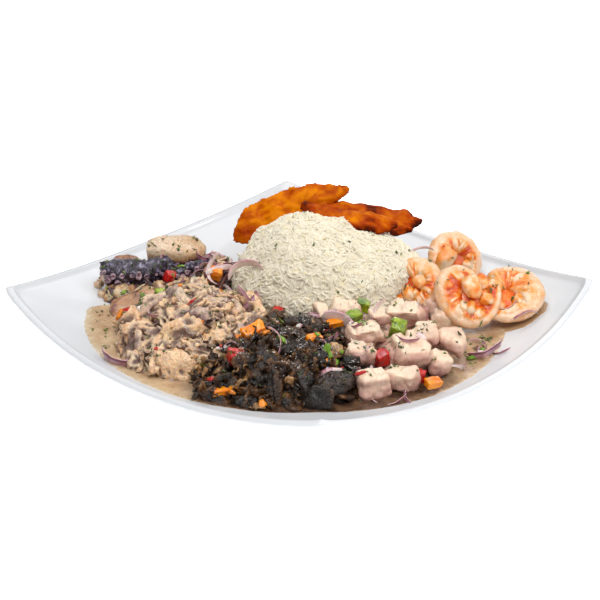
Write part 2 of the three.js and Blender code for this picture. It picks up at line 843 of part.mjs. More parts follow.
function shrimpPieces() {
  return SHRIMPS.map((spec) => shrimpMesh(spec, material(0xe9b28c, 0.35)));
}

function octopusPieces() {
  const skin = material(0x3b2a3c, 0.3);
  const shape = { segments: 3, unevenness: 0.07 };
  const flesh = OCTOPUS_PIECES.map((spec, i) =>
    lumpMesh(
      spec.name,
      spec,
      { ...shape, square: spec.square, seed: SEEDS.octopus + i },
      material(0xdcae93, 0.4),
    ),
  );
  return [
    armMesh("octopus_arm", OCTOPUS_ARM, skin),
    armMesh("octopus_curl", OCTOPUS_CURL, skin.clone()),
    ...flesh,
  ];
}

function fishPieces() {
  const shape = { square: 7, segments: 2, unevenness: 0.05 };
  return FISH_CUBES.map((spec, i) => {
    const finish = material(0xe3c4ad, 0.35);
    return lumpMesh(`fish_cube_${i + 1}`, spec, { ...shape, seed: SEEDS.fish + i }, finish);
  });
}

function clamPieces() {
  const shape = { square: 2.4, segments: 2, unevenness: 0.1 };
  return CLAMS.map((spec, i) =>
    lumpMesh(spec.name, spec, { ...shape, seed: SEEDS.clam + i }, material(0x4a3b33, 0.2)),
  );
}

function pepperPieces() {
  const shape = { square: 40, segments: 1, unevenness: 0.14 };
  const dice = Object.entries(PEPPERS).flatMap(([kind, specs]) =>
    specs.map((spec, i) => ({ ...spec, kind, name: `pepper_${kind}_${i + 1}` })),
  );
  return dice.map((spec, i) => {
    const finish = material(PEPPER_COLOURS[spec.kind], 0.25);
    return lumpMesh(spec.name, spec, { ...shape, seed: SEEDS.pepper + i }, finish);
  });
}

function onionPieces() {
  return ONIONS.map((spec) => onionMesh(spec, material(0xc9a3b4, 0.35)));
}

// Small pieces keep their shape, and what they lie on or in makes room for them. A piece cuts
// later ones with its whole shape, so that its own cuts leave no thin edges in the cutter.
function buildPlatter() {
  const plate = platePiece();
  const items = [
    ...pepperPieces(),
    ...onionPieces(),
    ...shrimpPieces(),
    ...plantainPieces(),
    ...fishPieces(),
    ...clamPieces(),
    ...octopusPieces(),
  ];
  const marinade = marinadePiece();
  const beds = [...heapPieces(), marinade];
  const plateCutter = solidFrom(plate.geometry, plate.matrixWorld, GROWTH);
  const cutters = [];
  const offcuts = new Map();
  for (const mesh of [...items, ...beds]) {
    mesh.updateWorldMatrix(true, false);
    const room = mesh.userData.room ?? mesh.geometry;
    const whole = solidFrom(room, mesh.matrixWorld, GROWTH);
    offcuts.set(mesh, makeRoom(mesh, beds.includes(mesh) ? cutters : [plateCutter, ...cutters]));
    cutters.push(whole);
  }
  const marinadeLeft = leftMarinadePiece(offcuts.get(marinade), marinade.material.clone());
  const platter = new THREE.Group();
  platter.add(plate, ...items, ...beds, marinadeLeft);
  return platter;
}

export default buildPlatter();
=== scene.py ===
"""Looks of the ceviche platter: a square porcelain plate with a dome of rice, fried plantain,
curled shrimps, octopus, shredded crab, black clams in dark juice and cubes of fish, with diced
peppers, red onion, chopped herbs and marinade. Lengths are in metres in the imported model's frame.
"""

import math

import bmesh
import bpy
import numpy as np
from mathutils import Matrix, Vector
from mathutils.kdtree import KDTree


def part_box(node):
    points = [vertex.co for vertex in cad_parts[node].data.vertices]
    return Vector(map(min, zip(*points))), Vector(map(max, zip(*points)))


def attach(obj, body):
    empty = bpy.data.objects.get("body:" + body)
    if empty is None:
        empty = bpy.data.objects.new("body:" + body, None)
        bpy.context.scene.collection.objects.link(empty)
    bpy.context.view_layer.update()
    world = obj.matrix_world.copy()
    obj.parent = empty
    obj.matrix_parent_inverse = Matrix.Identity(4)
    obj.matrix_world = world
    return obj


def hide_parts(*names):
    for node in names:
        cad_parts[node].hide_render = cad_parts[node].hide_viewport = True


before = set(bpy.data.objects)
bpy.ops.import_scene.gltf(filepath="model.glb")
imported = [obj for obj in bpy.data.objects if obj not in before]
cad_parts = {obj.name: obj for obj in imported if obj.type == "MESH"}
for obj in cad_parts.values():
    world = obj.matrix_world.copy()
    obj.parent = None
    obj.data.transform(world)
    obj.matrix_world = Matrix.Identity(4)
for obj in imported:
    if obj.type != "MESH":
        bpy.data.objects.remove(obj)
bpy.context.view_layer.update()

BODY = "root"
MM = 0.001

# ---- Driving sizes ------------------------------------------------------------------------

# The plate, in millimetres. These repeat the part's own sizes, except wall_sharpness,
# corner_rounding and lip_rise, which belong to the looks alone.
PLATE = dict(
    corner_reach=197.2,
    edge_bulge=19,
    corner_sharpness=70,
    wall_sharpness=4.5,
    corner_rounding=0.25,
    corner_rim=45,
    edge_dip=16.7,
    dip_power=2.2,
    well_floor=7.5,
    wall_power=2.5,
    thickness=4.5,
    lip_width=5,
    lip_rise=0.35,
    lip_depth=5.5,
    foot_radius=88,
    foot_width=6,
)
MARINADE_LEVEL = 24

# The camera: azimuth 0 looks along +Y. Angles in degrees.
CAMERA = dict(azimuth=-3.54, elevation=24.34, roll=0.613, lens=102.7)
CAMERA_DISTANCE = 1142 * MM
CAMERA_TARGET = (-1.2 * MM, 0, 32.2 * MM)

# ---- Numbers and noise --------------------------------------------------------------------


def seeded(seed):
    return np.random.default_rng(seed)


def colour(red, green, blue):
    """A screen colour, each part from 0 to 255, as the linear colour that shaders take."""
    parts = np.array([red, green, blue]) / 255
    linear = np.where(parts <= 0.04045, parts / 12.92, ((parts + 0.055) / 1.055) ** 2.4)
    return (*linear.tolist(), 1.0)


def smoothstep(low, high, value):
    t = np.clip((value - low) / (high - low), 0, 1)
    return t * t * (3 - 2 * t)


def bell(middle, width, value):
    """1 where value is middle, falling to nothing about two widths away."""
    return np.exp(-(((value - middle) / width) ** 2))


def cell_values(cells, seed):
    """A repeatable value from -1 to 1 for each whole-numbered cell."""
    c = cells.astype(np.int64).astype(np.uint64)
    mask = np.uint64(0xFFFFFFFF)
    mixed = c[:, 0] * np.uint64(73856093)
    mixed ^= c[:, 1] * np.uint64(19349663)
    mixed ^= c[:, 2] * np.uint64(83492791)
    mixed = (mixed ^ np.uint64(seed * 668265263 % 2**32)) & mask
    mixed = ((mixed ^ (mixed >> np.uint64(15))) * np.uint64(2246822519)) & mask
    mixed = ((mixed ^ (mixed >> np.uint64(13))) * np.uint64(3266489917)) & mask
    mixed ^= mixed >> np.uint64(16)
    return mixed.astype(float) / 2147483647.5 - 1


def noise(points, size, seed=0):
    """Smooth noise from -1 to 1 with lumps about `size` across. `size` may differ by axis."""
    scaled = points.reshape(-1, 3) / size
    low = np.floor(scaled)
    part = scaled - low
    part = part * part * (3 - 2 * part)
    total = np.zeros(len(scaled))
    for corner in np.ndindex(2, 2, 2):
        share = np.prod(np.where(corner, part, 1 - part), axis=1)
        total += share * cell_values(low + corner, seed)
    return total.reshape(points.shape[:-1])


def rough(points, size, seed=0, octaves=3):
    """Noise with finer and finer lumps on it, each half as large and half as high."""
    sizes = [np.array(size) / 2**k for k in range(octaves)]
    return sum(noise(points, s, seed + 31 * k) / 2**k for k, s in enumerate(sizes))


def ridged(points, size, seed=0, octaves=3):
    """Noise with sharp crests, from about -1 to 1."""
    sizes = [np.array(size) / 2**k for k in range(octaves)]
    return sum((1 - 4 * np.abs(noise(points, s, seed + 17 * k))) / 2**k for k, s in enumerate(sizes)) / 1.5


# ---- Mesh building ------------------------------------------------------------------------


def new_mesh(name, points, faces, **attributes):
    """A smooth mesh. `faces` is a list of arrays, one for each number of corners."""
    mesh = bpy.data.meshes.new(name)
    points = points.reshape(-1, 3)
    mesh.vertices.add(len(points))
    mesh.vertices.foreach_set("co", points.astype(np.float32).ravel())
    corners = np.concatenate([f.ravel() for f in faces])
    widths = np.concatenate([np.full(len(f), f.shape[1]) for f in faces])
    mesh.loops.add(len(corners))
    mesh.loops.foreach_set("vertex_index", corners.astype(np.int32))
    mesh.polygons.add(len(widths))
    mesh.polygons.foreach_set("loop_start", (np.cumsum(widths) - widths).astype(np.int32))
    mesh.update(calc_edges=True)
    mesh.shade_smooth()
    for key, values in attributes.items():
        layer = mesh.attributes.new(key, "FLOAT", "POINT")
        layer.data.foreach_set("value", np.asarray(values, np.float32).ravel())
    return mesh


def piece(name, points, faces, material, slot, *nodes, **attributes):
    """Makes a skin a piece of the object that stands for these CAD nodes."""
    made = bpy.data.objects.new(name, new_mesh(name, points, faces, **attributes))
    made.data.materials.append(material)
    bpy.context.scene.collection.objects.link(made)
    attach(made, BODY)
    if nodes:
        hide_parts(*nodes)


def outward(points, faces):
    """The same faces, turned over if they face into the closed shape."""
    flat = points.reshape(-1, 3)
    halves = [f[:, [0, 2, 3]] for f in faces if f.shape[1] == 4]
    triangles = np.concatenate([f[:, :3] for f in faces] + halves)
    a, b, c = (flat[triangles[:, i]] for i in range(3))
    volume = np.einsum("ij,ij->", a, np.cross(b, c))
    return faces if volume > 0 else [f[:, ::-1] for f in faces]


def ring_faces(rings, sides):
    """The quads between rings of `sides` points each."""
    row = np.arange(rings - 1)[:, None] * sides
    this = np.arange(sides)[None, :]
    after = (this + 1) % sides
    quads = [row + this, row + after, row + sides + after, row + sides + this]
    return np.stack(quads, -1).reshape(-1, 4)


def loft(rings):
    """A closed skin over rings of points, shaped (rings, sides, 3)."""
    count, sides, _ = rings.shape
    points = np.concatenate([rings.reshape(-1, 3), [rings[0].mean(0)], [rings[-1].mean(0)]])
    this = np.arange(sides)
    after = (this + 1) % sides
    start = np.stack([np.full(sides, count * sides), after, this], -1)
    last = (count - 1) * sides
    end = np.stack([np.full(sides, count * sides + 1), last + this, last + after], -1)
    faces = [ring_faces(count, sides), np.concatenate([start, end])]
    return points, outward(points, faces)


def copies(shapes, faces, turns, places):
    """A turned and placed copy of each shape, as one set of points and faces."""
    points = np.einsum("nij,nmj->nmi", turns, shapes) + places[:, None, :]
    first = np.arange(len(turns))[:, None, None] * points.shape[1]
    return points, [(f[None] + first).reshape(-1, f.shape[1]) for f in faces]


def join(parts):
    """Joins several (points, faces, attributes) into one. All have the same attributes."""
    points, faces, attributes, first = [], {}, {}, 0
    for part_points, part_faces, part_attributes in parts:
        flat = part_points.reshape(-1, 3)
        for f in part_faces:
            faces.setdefault(f.shape[1], []).append(f + first)
        for key, values in part_attributes.items():
            each = np.broadcast_to(values, part_points.shape[:-1]).ravel()
            attributes.setdefault(key, []).append(each)
        points.append(flat)
        first += len(flat)
    joined = [np.concatenate(group) for group in faces.values()]
    return np.concatenate(points), joined, {key: np.concatenate(group) for key, group in attributes.items()}


def ball(detail):
    """Points and faces of a unit ball of even triangles."""
    mesh = bmesh.new()
    bmesh.ops.create_icosphere(mesh, subdivisions=detail, radius=1)
    points = np.array([v.co for v in mesh.verts])
    faces = np.array([[v.index for v in f.verts] for f in mesh.faces])
    mesh.free()
    return points, [faces]


def turn_matrix(lean, slope, turn):
    """Turns about X, then Y, then Z, in degrees."""
    angles = dict(X=lean, Y=slope, Z=turn)
    about = {axis: Matrix.Rotation(math.radians(angle), 3, axis) for axis, angle in angles.items()}
    return np.array(about["Z"] @ about["Y"] @ about["X"])


def raised(points, normals, height):
    """Points moved out along their normals, each by a height of its own."""
    return points + normals * height[:, None]


def on_circle(angle):
    """Points on a unit circle in plan."""
    return np.stack([np.cos(angle), np.sin(angle), 0 * angle], -1)


def box_corners(node):
    """The lowest and highest corners of a CAD node."""
    low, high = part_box(node)
    return np.array(low), np.array(high)


def fit(points, node):
    """Moves and stretches a shape so that its box is the box of the CAD node it stands for."""
    low, high = box_corners(node)
    flat = points.reshape(-1, 3)
    own_low, own_high = flat.min(0), flat.max(0)
    return low + (points - own_low) * (high - low) / (own_high - own_low)


# ---- Surfaces taken from the frame --------------------------------------------------------


def arrays_of(mesh):
    """Points, normals and faces of a mesh whose faces all have as many corners."""
    count = len(mesh.vertices)
    points = np.empty(3 * count, np.float32)
    normals = np.empty(3 * count, np.float32)
    corners = np.empty(len(mesh.loops), np.int32)
    mesh.vertices.foreach_get("co", points)
    mesh.vertex_normals.foreach_get("vector", normals)
    mesh.loops.foreach_get("vertex_index", corners)
    faces = corners.reshape(-1, len(mesh.loops) // len(mesh.polygons))
    return points.reshape(-1, 3).astype(float), normals.reshape(-1, 3).astype(float), [faces]


def node_skin(node, voxel, smoothing):
    """A fine, even, softly rounded surface over a CAD node: its points, normals and faces."""
    holder = bpy.data.objects.new("holder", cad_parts[node].data.copy())
    bpy.context.scene.collection.objects.link(holder)
    remesh = holder.modifiers.new("even", "REMESH")
    remesh.mode = "VOXEL"
    remesh.voxel_size = voxel
    smooth = holder.modifiers.new("round", "SMOOTH")
    smooth.iterations = smoothing
    graph = bpy.context.evaluated_depsgraph_get()
    mesh = bpy.data.meshes.new_from_object(holder.evaluated_get(graph), depsgraph=graph)
    bpy.data.objects.remove(holder)
    return arrays_of(mesh)


def spread_over(points, faces, apart, seed, most=40000):
    """Places spread over a surface, none nearer than `apart`, and the normals there."""
    quads = faces[0]
    triangles = np.concatenate([quads[:, :3], quads[:, [0, 2, 3]]]) if quads.shape[1] == 4 else quads
    a, b, c = (points[triangles[:, i]] for i in range(3))
    cross = np.cross(b - a, c - a)
    areas = np.linalg.norm(cross, axis=1) / 2
    rng = seeded(seed)
    count = int(min(most, 5 * areas.sum() / apart**2))
    picks = rng.choice(len(areas), count, p=areas / areas.sum())
    u, v = rng.random((2, count, 1))
    u, v = np.where(u + v > 1, 1 - u, u), np.where(u + v > 1, 1 - v, v)
    places = a[picks] + u * (b[picks] - a[picks]) + v * (c[picks] - a[picks])
    normals = cross[picks] / np.linalg.norm(cross[picks], axis=1, keepdims=True)
    tree = KDTree(count)
    for i, place in enumerate(places):
        tree.insert(place, i)
    tree.balance()
    free = np.ones(count, bool)
    kept = []
    for i, place in enumerate(places):
        if free[i]:
            kept.append(i)
            free[[j for _, j, _ in tree.find_range(place, apart)]] = False
    return places[kept], normals[kept]


def frames_on(normals, rng, lean):
    """A turned frame on each normal: the third axis leans off it by up to `lean`, in radians."""
    count = len(normals)
    up = normals + np.tan(lean) * rng.uniform(-1, 1, (count, 3))
    up /= np.linalg.norm(up, axis=1, keepdims=True)
    along = np.cross(up, rng.normal(size=(count, 3)))
    along /= np.linalg.norm(along, axis=1, keepdims=True)
    across = np.cross(up, along)
    return np.stack([along, across, up], axis=2)


# ---- Materials ----------------------------------------------------------------------------


class Finish:
    """A material with one Principled shader, and short calls for the nodes that feed it."""

    def __init__(self, name, roughness, coat=None, scatter=None, **values):
        """A coat is its weight and roughness. Scatter, for light inside, is its weight and depth."""
        self.material = bpy.data.materials.new(name)
        self.material.use_nodes = True
        self.tree = self.material.node_tree
        self.shader = self.tree.nodes["Principled BSDF"]
        self.coordinates = self.tree.nodes.new("ShaderNodeTexCoord").outputs["Object"]
        values["Roughness"] = roughness
        if coat:
            values["Coat_Weight"], values["Coat_Roughness"] = coat
        if scatter:
            values["Subsurface_Weight"], values["Subsurface_Scale"] = scatter
        for key, value in values.items():
            self.shader.inputs[key.replace("_", " ")].default_value = value

    def link(self, source, target):
        if hasattr(source, "is_output"):
            self.tree.links.new(source, target)
        else:
            target.default_value = source

    def noise(self, size, detail=3, stretch=(1, 1, 1), twist=0):
        """Noise from 0 to 1 with lumps about `size` across, drawn out along an axis by stretch."""
        mapping = self.tree.nodes.new("ShaderNodeMapping")
        self.link(self.coordinates, mapping.inputs["Vector"])
        mapping.inputs["Scale"].default_value = [1 / s for s in stretch]
        made = self.tree.nodes.new("ShaderNodeTexNoise")
        self.link(mapping.outputs["Vector"], made.inputs["Vector"])
        made.inputs["Scale"].default_value = 1 / size
        made.inputs["Detail"].default_value = detail
        made.inputs["Distortion"].default_value = twist
        return made.outputs["Fac"]

    def attribute(self, name):
        made = self.tree.nodes.new("ShaderNodeAttribute")
        made.attribute_name = name
        return made.outputs["Fac"]

    def varied(self, name, size, detail, amount):
        """One of the mesh's attributes, with noise that adds or takes up to half of `amount`."""
        change = self.math("MULTIPLY_ADD", self.noise(size, detail), amount, -amount / 2)
        return self.math("ADD", self.attribute(name), change)

    def math(self, operation, *values):
        made = self.tree.nodes.new("ShaderNodeMath")
        made.operation = operation
        for value, socket in zip(values, made.inputs):
            self.link(value, socket)
        return made.outputs[0]

    def step(self, value, low, high):
        """0 below low, 1 above high, and smooth in between."""
        made = self.tree.nodes.new("ShaderNodeMapRange")
        made.interpolation_type = "SMOOTHSTEP"
        self.link(value, made.inputs["Value"])
        made.inputs["From Min"].default_value = low
        made.inputs["From Max"].default_value = high
        return made.outputs["Result"]

    def ramp(self, value, *stops):
        """Colours by value. Each stop is (position, red, green, blue), as a screen colour."""
        made = self.tree.nodes.new("ShaderNodeValToRGB")
        self.link(value, made.inputs["Fac"])
        elements = made.color_ramp.elements
        while len(elements) < len(stops):
            elements.new(0.5)
        for element, (position, *shade) in zip(elements, stops):
            element.position = position
            element.color = colour(*shade)
        return made.outputs["Color"]

    def mix(self, share, first, second):
        made = self.tree.nodes.new("ShaderNodeMix")
        made.data_type = "RGBA"
        for value, socket in ((share, 0), (first, 6), (second, 7)):
            self.link(value, made.inputs[socket])
        return made.outputs[2]

    def stained(self, shade, where, strength, *stain):
        """Mixes a screen colour in where `where` is high."""
        return self.mix(self.math("MULTIPLY", where, strength), shade, colour(*stain))

    def mottled(self, shade, size, strength, *stain):
        """Mixes a screen colour in where fine noise is high."""
        return self.stained(shade, self.step(self.noise(size, 3), 0.45, 0.65), strength, *stain)

    def bump(self, height, distance):
        made = self.tree.nodes.new("ShaderNodeBump")
        self.link(height, made.inputs["Height"])
        made.inputs["Distance"].default_value = distance
        self.link(made.outputs["Normal"], self.shader.inputs["Normal"])
        self.link(made.outputs["Normal"], self.shader.inputs["Coat Normal"])

    def wear(self, shade):
        """Sets the colour and gives back the finished material."""
        self.link(shade, self.shader.inputs["Base Color"])
        return self.material


# ---- Plate --------------------------------------------------------------------------------

QUARTER = math.pi / 2
HALF_SIDE = PLATE["corner_reach"] / math.sqrt(2)
SIDE_RADIUS = (HALF_SIDE**2 + PLATE["edge_bulge"] ** 2) / (2 * PLATE["edge_bulge"])
SIDE_CENTRE = HALF_SIDE + PLATE["edge_bulge"] - SIDE_RADIUS


def side_distance(turn):
    return SIDE_CENTRE * np.cos(turn) + np.sqrt(SIDE_RADIUS**2 - (SIDE_CENTRE * np.sin(turn)) ** 2)


def plate_reach(angle, power=PLATE["corner_sharpness"]):
    """Outline of the plate in plan, in millimetres. A low power rounds its corners off."""
    turn = np.mod(angle, QUARTER) - QUARTER / 2
    sides = [side_distance(turn), side_distance(QUARTER - turn), side_distance(QUARTER + turn)]
    return sum(np.maximum(side, 1) ** -power for side in sides) ** (-1 / power)


def rim_height(angle, rounding=0.0):
    """Height of the rim. Rounding, as a share of half a side, takes the point off its corners."""
    turn = np.mod(angle, QUARTER) - QUARTER / 2
    along = np.minimum(1, np.abs(side_distance(turn) * np.sin(turn)) / HALF_SIDE)
    along = np.maximum(0, 1 - np.hypot(1 - along, rounding))
    return PLATE["corner_rim"] - PLATE["edge_dip"] * (1 - along ** PLATE["dip_power"])


def plate_surface(radius, angle):
    """Height of the eating surface, in millimetres. Its corners sharpen on their way up to the rim."""
    share = radius / plate_reach(angle)
    sharpening = PLATE["corner_sharpness"] / PLATE["wall_sharpness"]
    for _ in range(4):
        climb = np.clip(share, 0, 1) ** 3
        share = radius / plate_reach(angle, PLATE["wall_sharpness"] * sharpening**climb)
    rim = rim_height(angle, PLATE["corner_rounding"] * (1 - climb))
    rise = rim - PLATE["lip_rise"] - PLATE["well_floor"]
    return PLATE["well_floor"] + rise * np.minimum(1, share) ** PLATE["wall_power"]


def plate_directions(steps):
    """Directions round the plate, closer together at the corners."""
    s = np.linspace(-1, 1, steps, endpoint=False)
    corner = QUARTER / 2 * (0.5 * s + 0.5 * s**3)
    return np.concatenate([k * QUARTER + corner for k in range(4)])


def plate_rings():
    """Rings of points from the middle of the eating surface, over the lip, to under the foot."""
    angle = plate_directions(72)
    reach, rim = plate_reach(angle), rim_height(angle)
    width, depth = PLATE["lip_width"], PLATE["lip_depth"]
    rings = []

    def add(radius, height):
        radius = np.broadcast_to(radius, angle.shape)
        height = np.broadcast_to(height, angle.shape)
        rings.append(np.stack([radius * np.cos(angle), radius * np.sin(angle), height], -1))

    for share in np.linspace(0.02, 1, 34) ** 0.85:
        radius = share * (reach - width - 0.6)
        add(radius, plate_surface(radius, angle))
    # The lip: a small step up, a flat top and a rounded outer edge.
    inner, step = reach - width, PLATE["lip_rise"]
    for out, up in ((0, 0.1), (0.3, 0.55), (0.8, 0.9), (1.5, 1.0)):
        add(inner + out, rim - step * (1 - up))
    for share in np.linspace(0.3, 1, 6)[1:]:
        add(inner + 1.5 + share * (width - 3.2), rim)
    for turn in np.linspace(0, QUARTER, 7)[1:]:
        add(reach - 1.7 + 1.7 * np.sin(turn), rim - 1.7 * (1 - np.cos(turn)))
    for share in np.linspace(0, 1, 5)[1:]:
        add(reach - 0.8 * share, rim - 1.7 - share * (depth - 2.6))
    add(reach - 1.6, rim - depth + 0.1)
    # The underside runs a plate's thickness below the eating surface, down to the foot ring.
    foot, foot_width = PLATE["foot_radius"], PLATE["foot_width"]
    for share in np.linspace(0, 1, 20) ** 0.8:
        radius = (reach - 4) + share * (foot + 2.4 - (reach - 4))
        add(radius, plate_surface(radius, angle) - PLATE["thickness"] - 0.9 * (1 - share) ** 8)
    for radius, height in ((foot + 0.8, 1.2), (foot, 0.35), (foot - 0.7, 0)):
        add(radius, height)
    for radius, height in ((foot - foot_width + 0.7, 0), (foot - foot_width, 0.35)):
        add(radius, height)
    under = PLATE["well_floor"] - PLATE["thickness"]
    add(foot - foot_width - 1.4, under - 0.5)
    for radius in (foot - foot_width - 3, 60, 30, 6):
        add(radius, under)
    return np.stack(rings)


def porcelain():
    finish = Finish("porcelain", 0.3, coat=(0.2, 0.1))
    white = finish.ramp(finish.noise(0.05, 2), (0.3, 207, 209, 212), (0.7, 212, 214, 217))
    speck = finish.step(finish.noise(0.0011, 1), 0.72, 0.8)
    finish.bump(finish.noise(0.012, 2), 0.00012)
    return finish.wear(finish.mix(speck, white, colour(216, 216, 216)))


def build_plate():
    points, faces = loft(plate_rings() * MM)
    piece("plate_body", points, faces, porcelain(), "porcelain", "plate")


def plate_height_at(x, y):
    """Height of the eating surface over a place, all in millimetres."""
    return plate_surface(np.hypot(x, y), np.arctan2(y, x))


# ---- Marinade -----------------------------------------------------------------------------

POOL_BACK = 22  # the pool ends under the food at this y
POOL_CORNER = 6  # how sharply its shore turns there
POOL_DROP = 2.6
FILM_WIDTH = 2  # the wet edge left on the plate beyond the pool
FILM_HEIGHT = 0.25
POOL_SUNK = 1.0  # how far the liquid's underside goes into the plate


def pool_level(x):
    """Height of the liquid, which runs out thin under the shrimps on the right."""
    return MARINADE_LEVEL - POOL_DROP * smoothstep(40, 140, x)


def pool_reach(angle):
    """How far out the liquid stands, in millimetres."""
    most = plate_reach(angle) - PLATE["lip_width"] - 1.5
    radii = np.linspace(0.3, 1, 160)[:, None] * most
    covered = plate_surface(radii, angle) < pool_level(radii * np.cos(angle))
    shore = np.max(radii * covered, axis=0)
    wave = 7 * rough(on_circle(angle), 0.5, 9)
    back = (POOL_BACK + wave) / np.maximum(np.sin(angle), 0.02)
    return (shore**-POOL_CORNER + back**-POOL_CORNER) ** (-1 / POOL_CORNER)


def marinade_look():
    finish = Finish("marinade", 0.1, coat=(0.5, 0.03), IOR=1.4)
    cream = finish.ramp(finish.noise(0.014, 5), (0.3, 172, 134, 98), (0.7, 216, 188, 152))
    juice = finish.ramp(finish.noise(0.009, 4), (0.35, 58, 38, 28), (0.65, 104, 76, 56))
    blend = finish.math("ADD", finish.attribute("dark"), finish.math("MULTIPLY", finish.noise(0.012, 3), 0.3))
    mixed = finish.mix(finish.step(blend, 0.35, 0.95), cream, juice)
    edge = finish.varied("thin", 0.005, 3, 0.6)
    thin = finish.ramp(edge, (0.2, 180, 148, 110), (0.6, 204, 182, 150), (0.95, 224, 224, 224))
    thin = finish.mix(finish.step(edge, 0.15, 0.6), mixed, thin)
    speck = finish.step(finish.noise(0.0014, 2), 0.66, 0.72)
    finish.bump(finish.noise(0.003, 3), 0.0004)
    return finish.wear(finish.mix(speck, thin, colour(88, 72, 40)))


def juice_and_shade_share(x, y):
    """How dark the liquid is at a place: the clams' dark juice near them, and darker towards the right by the
    shrimps, partly juice and partly painted shade.
    """
    by_clams = np.exp(-(((x + 2) / 82) ** 4) - ((y + 120) / 62) ** 4)
    return by_clams + 0.38 * smoothstep(50, 100, x)


def build_marinade():
    angle = np.linspace(0, 2 * math.pi, 300, endpoint=False)
    shore = pool_reach(angle)
    film = FILM_WIDTH * (0.6 + 0.5 * rough(on_circle(angle) * 3, 0.35, 7))
    inside = np.minimum(shore, 150)
    rings, dark, thin = [], [], []

    def add(radius, height, thinness=0):
        x, y = radius * np.cos(angle), radius * np.sin(angle)
        depth = pool_level(x) - plate_height_at(x, y)
        rings.append(np.stack([x, y, height(x, y)], -1))
        dark.append(juice_and_shade_share(x, y))
        thin.append((0.7 * np.exp(-np.maximum(0, depth) / 2.6) + thinness) * (1 - 0.75 * dark[-1]))

    def surface(x, y):
        ripple = rough(np.stack([x, y, 0 * x], -1), 7, 21)
        return pool_level(x) + 0.16 * ripple

    for share in np.linspace(0.02, 1, 42) ** 0.7:
        add(share * (inside - 1.5), surface)
    add(shore - 0.6, lambda x, y: pool_level(x) + 0.12)
    for share in (0.0, 0.4, 1.0):
        lift = FILM_HEIGHT * (1 - 2.6 * share)
        add(shore + share * film, lambda x, y, lift=lift: plate_height_at(x, y) + lift, 0.5 * share)
    for share in (0.99, 0.9, 0.7, 0.45, 0.2, 0.03):
        add(share * (shore + film), lambda x, y: plate_height_at(x, y) - POOL_SUNK)
    points, faces = loft(np.array(rings) * MM)
    dark = np.concatenate([np.ravel(dark), [np.mean(dark[0]), np.mean(dark[-1])]])
    thin = np.concatenate([np.ravel(thin), [0, 0]])
    nodes = ("marinade", "marinade_left")
    piece("marinade_pool", points, faces, marinade_look(), "marinade", *nodes, dark=dark, thin=thin)


# The juice under the shrimps at the right: a brown film on the plate, partly their juice and partly a painted
# contact shadow of the shrimps. Lengths in millimetres.
JUICE_AND_SHADOW = dict(middle=(140, -8), radii=(21.5, 23), depth=0.5)


def build_juice_and_shadow():
    angle = np.linspace(0, 2 * math.pi, 90, endpoint=False)
    edge = 1 + 0.16 * rough(on_circle(angle), 0.8, 25)
    rings, thin = [], []

    def add(share, lift):
        x = JUICE_AND_SHADOW["middle"][0] + JUICE_AND_SHADOW["radii"][0] * share * edge * np.cos(angle)
        y = JUICE_AND_SHADOW["middle"][1] + JUICE_AND_SHADOW["radii"][1] * share * edge * np.sin(angle)
        rings.append(np.stack([x, y, plate_height_at(x, y) + lift], -1))
        thin.append(0.5 + 0.5 * smoothstep(0.3, 1, share) + 0 * angle)

    for share in np.linspace(0.02, 1, 30):
        add(share, JUICE_AND_SHADOW["depth"] * (1 - share**4) + 0.1)
    for share in (0.98, 0.5, 0.02):
        add(share, -POOL_SUNK)
    points, faces = loft(np.array(rings) * MM)
    thin = np.concatenate([np.ravel(thin), [0, 0]])
    material = bpy.data.materials["marinade"]
    # The film's darkness is partly juice and partly a painted shadow of the shrimps.
    piece("shrimp_juice_and_shadow", points, faces, material, "marinade", dark=0.25 + 0 * thin, thin=thin)


# ---- Rice ---------------------------------------------------------------------------------

# How far a grain leans off the surface, in radians: most lie flat, and a share stands steeper.
GRAIN = dict(
    length=7.0 * MM,
    width=2.3 * MM,
    apart=1.85 * MM,
    flat_lean=0.2,
    steep_lean=0.75,
    steep_share=0.22,
)
RICE_RELIEF = 1.2 * MM
# The mound stands out square at its right shoulder. The bearing and its spread are in degrees.
RICE_SHOULDER = dict(out=8 * MM, bearing=-12, spread=38, height=50 * MM, depth=12 * MM)
# Away from its peak the mound slumps by `down`. Each pair is where that begins and where it is in
# full: in distance from the peak's x, in height, and in y, as the back does not slump.
RICE_SLUMP = dict(
    down=9 * MM,
    peak=-1 * MM,
    span=(8 * MM, 36 * MM),
    height=(38 * MM, 70 * MM),
    back=(58 * MM, 36 * MM),
)


def grain_shape(sides=4):
    """A rice grain of unit length and width, blunt at one end and pointed at the other."""
    angle = np.arange(sides) * 2 * math.pi / sides
    rings = []
    for place, girth in ((-0.43, 0.62), (-0.2, 1.0), (0.16, 0.97), (0.42, 0.5)):
        across = girth * np.cos(angle) / 2
        rings.append(np.stack([np.full(sides, place), across, girth * np.sin(angle) / 2], -1))
    points, faces = loft(np.array(rings))
    points[-2, 0] = -0.5
    points[-1, 0] = 0.5
    return points, faces


def boiled_rice(name):
    finish = Finish(name, 0.5, Specular_IOR_Level=0.1, Diffuse_Roughness=1.0)
    tone = finish.attribute("tone")
    white = finish.ramp(tone, (0.0, 222, 213, 190), (0.35, 226, 218, 199), (1.0, 229, 222, 204))
    finish.bump(finish.noise(0.0016, 2), 0.0001)
    oil = finish.step(finish.noise(0.005, 3), 0.54, 0.7)
    return finish.wear(finish.stained(white, oil, 0.5, 226, 212, 168))


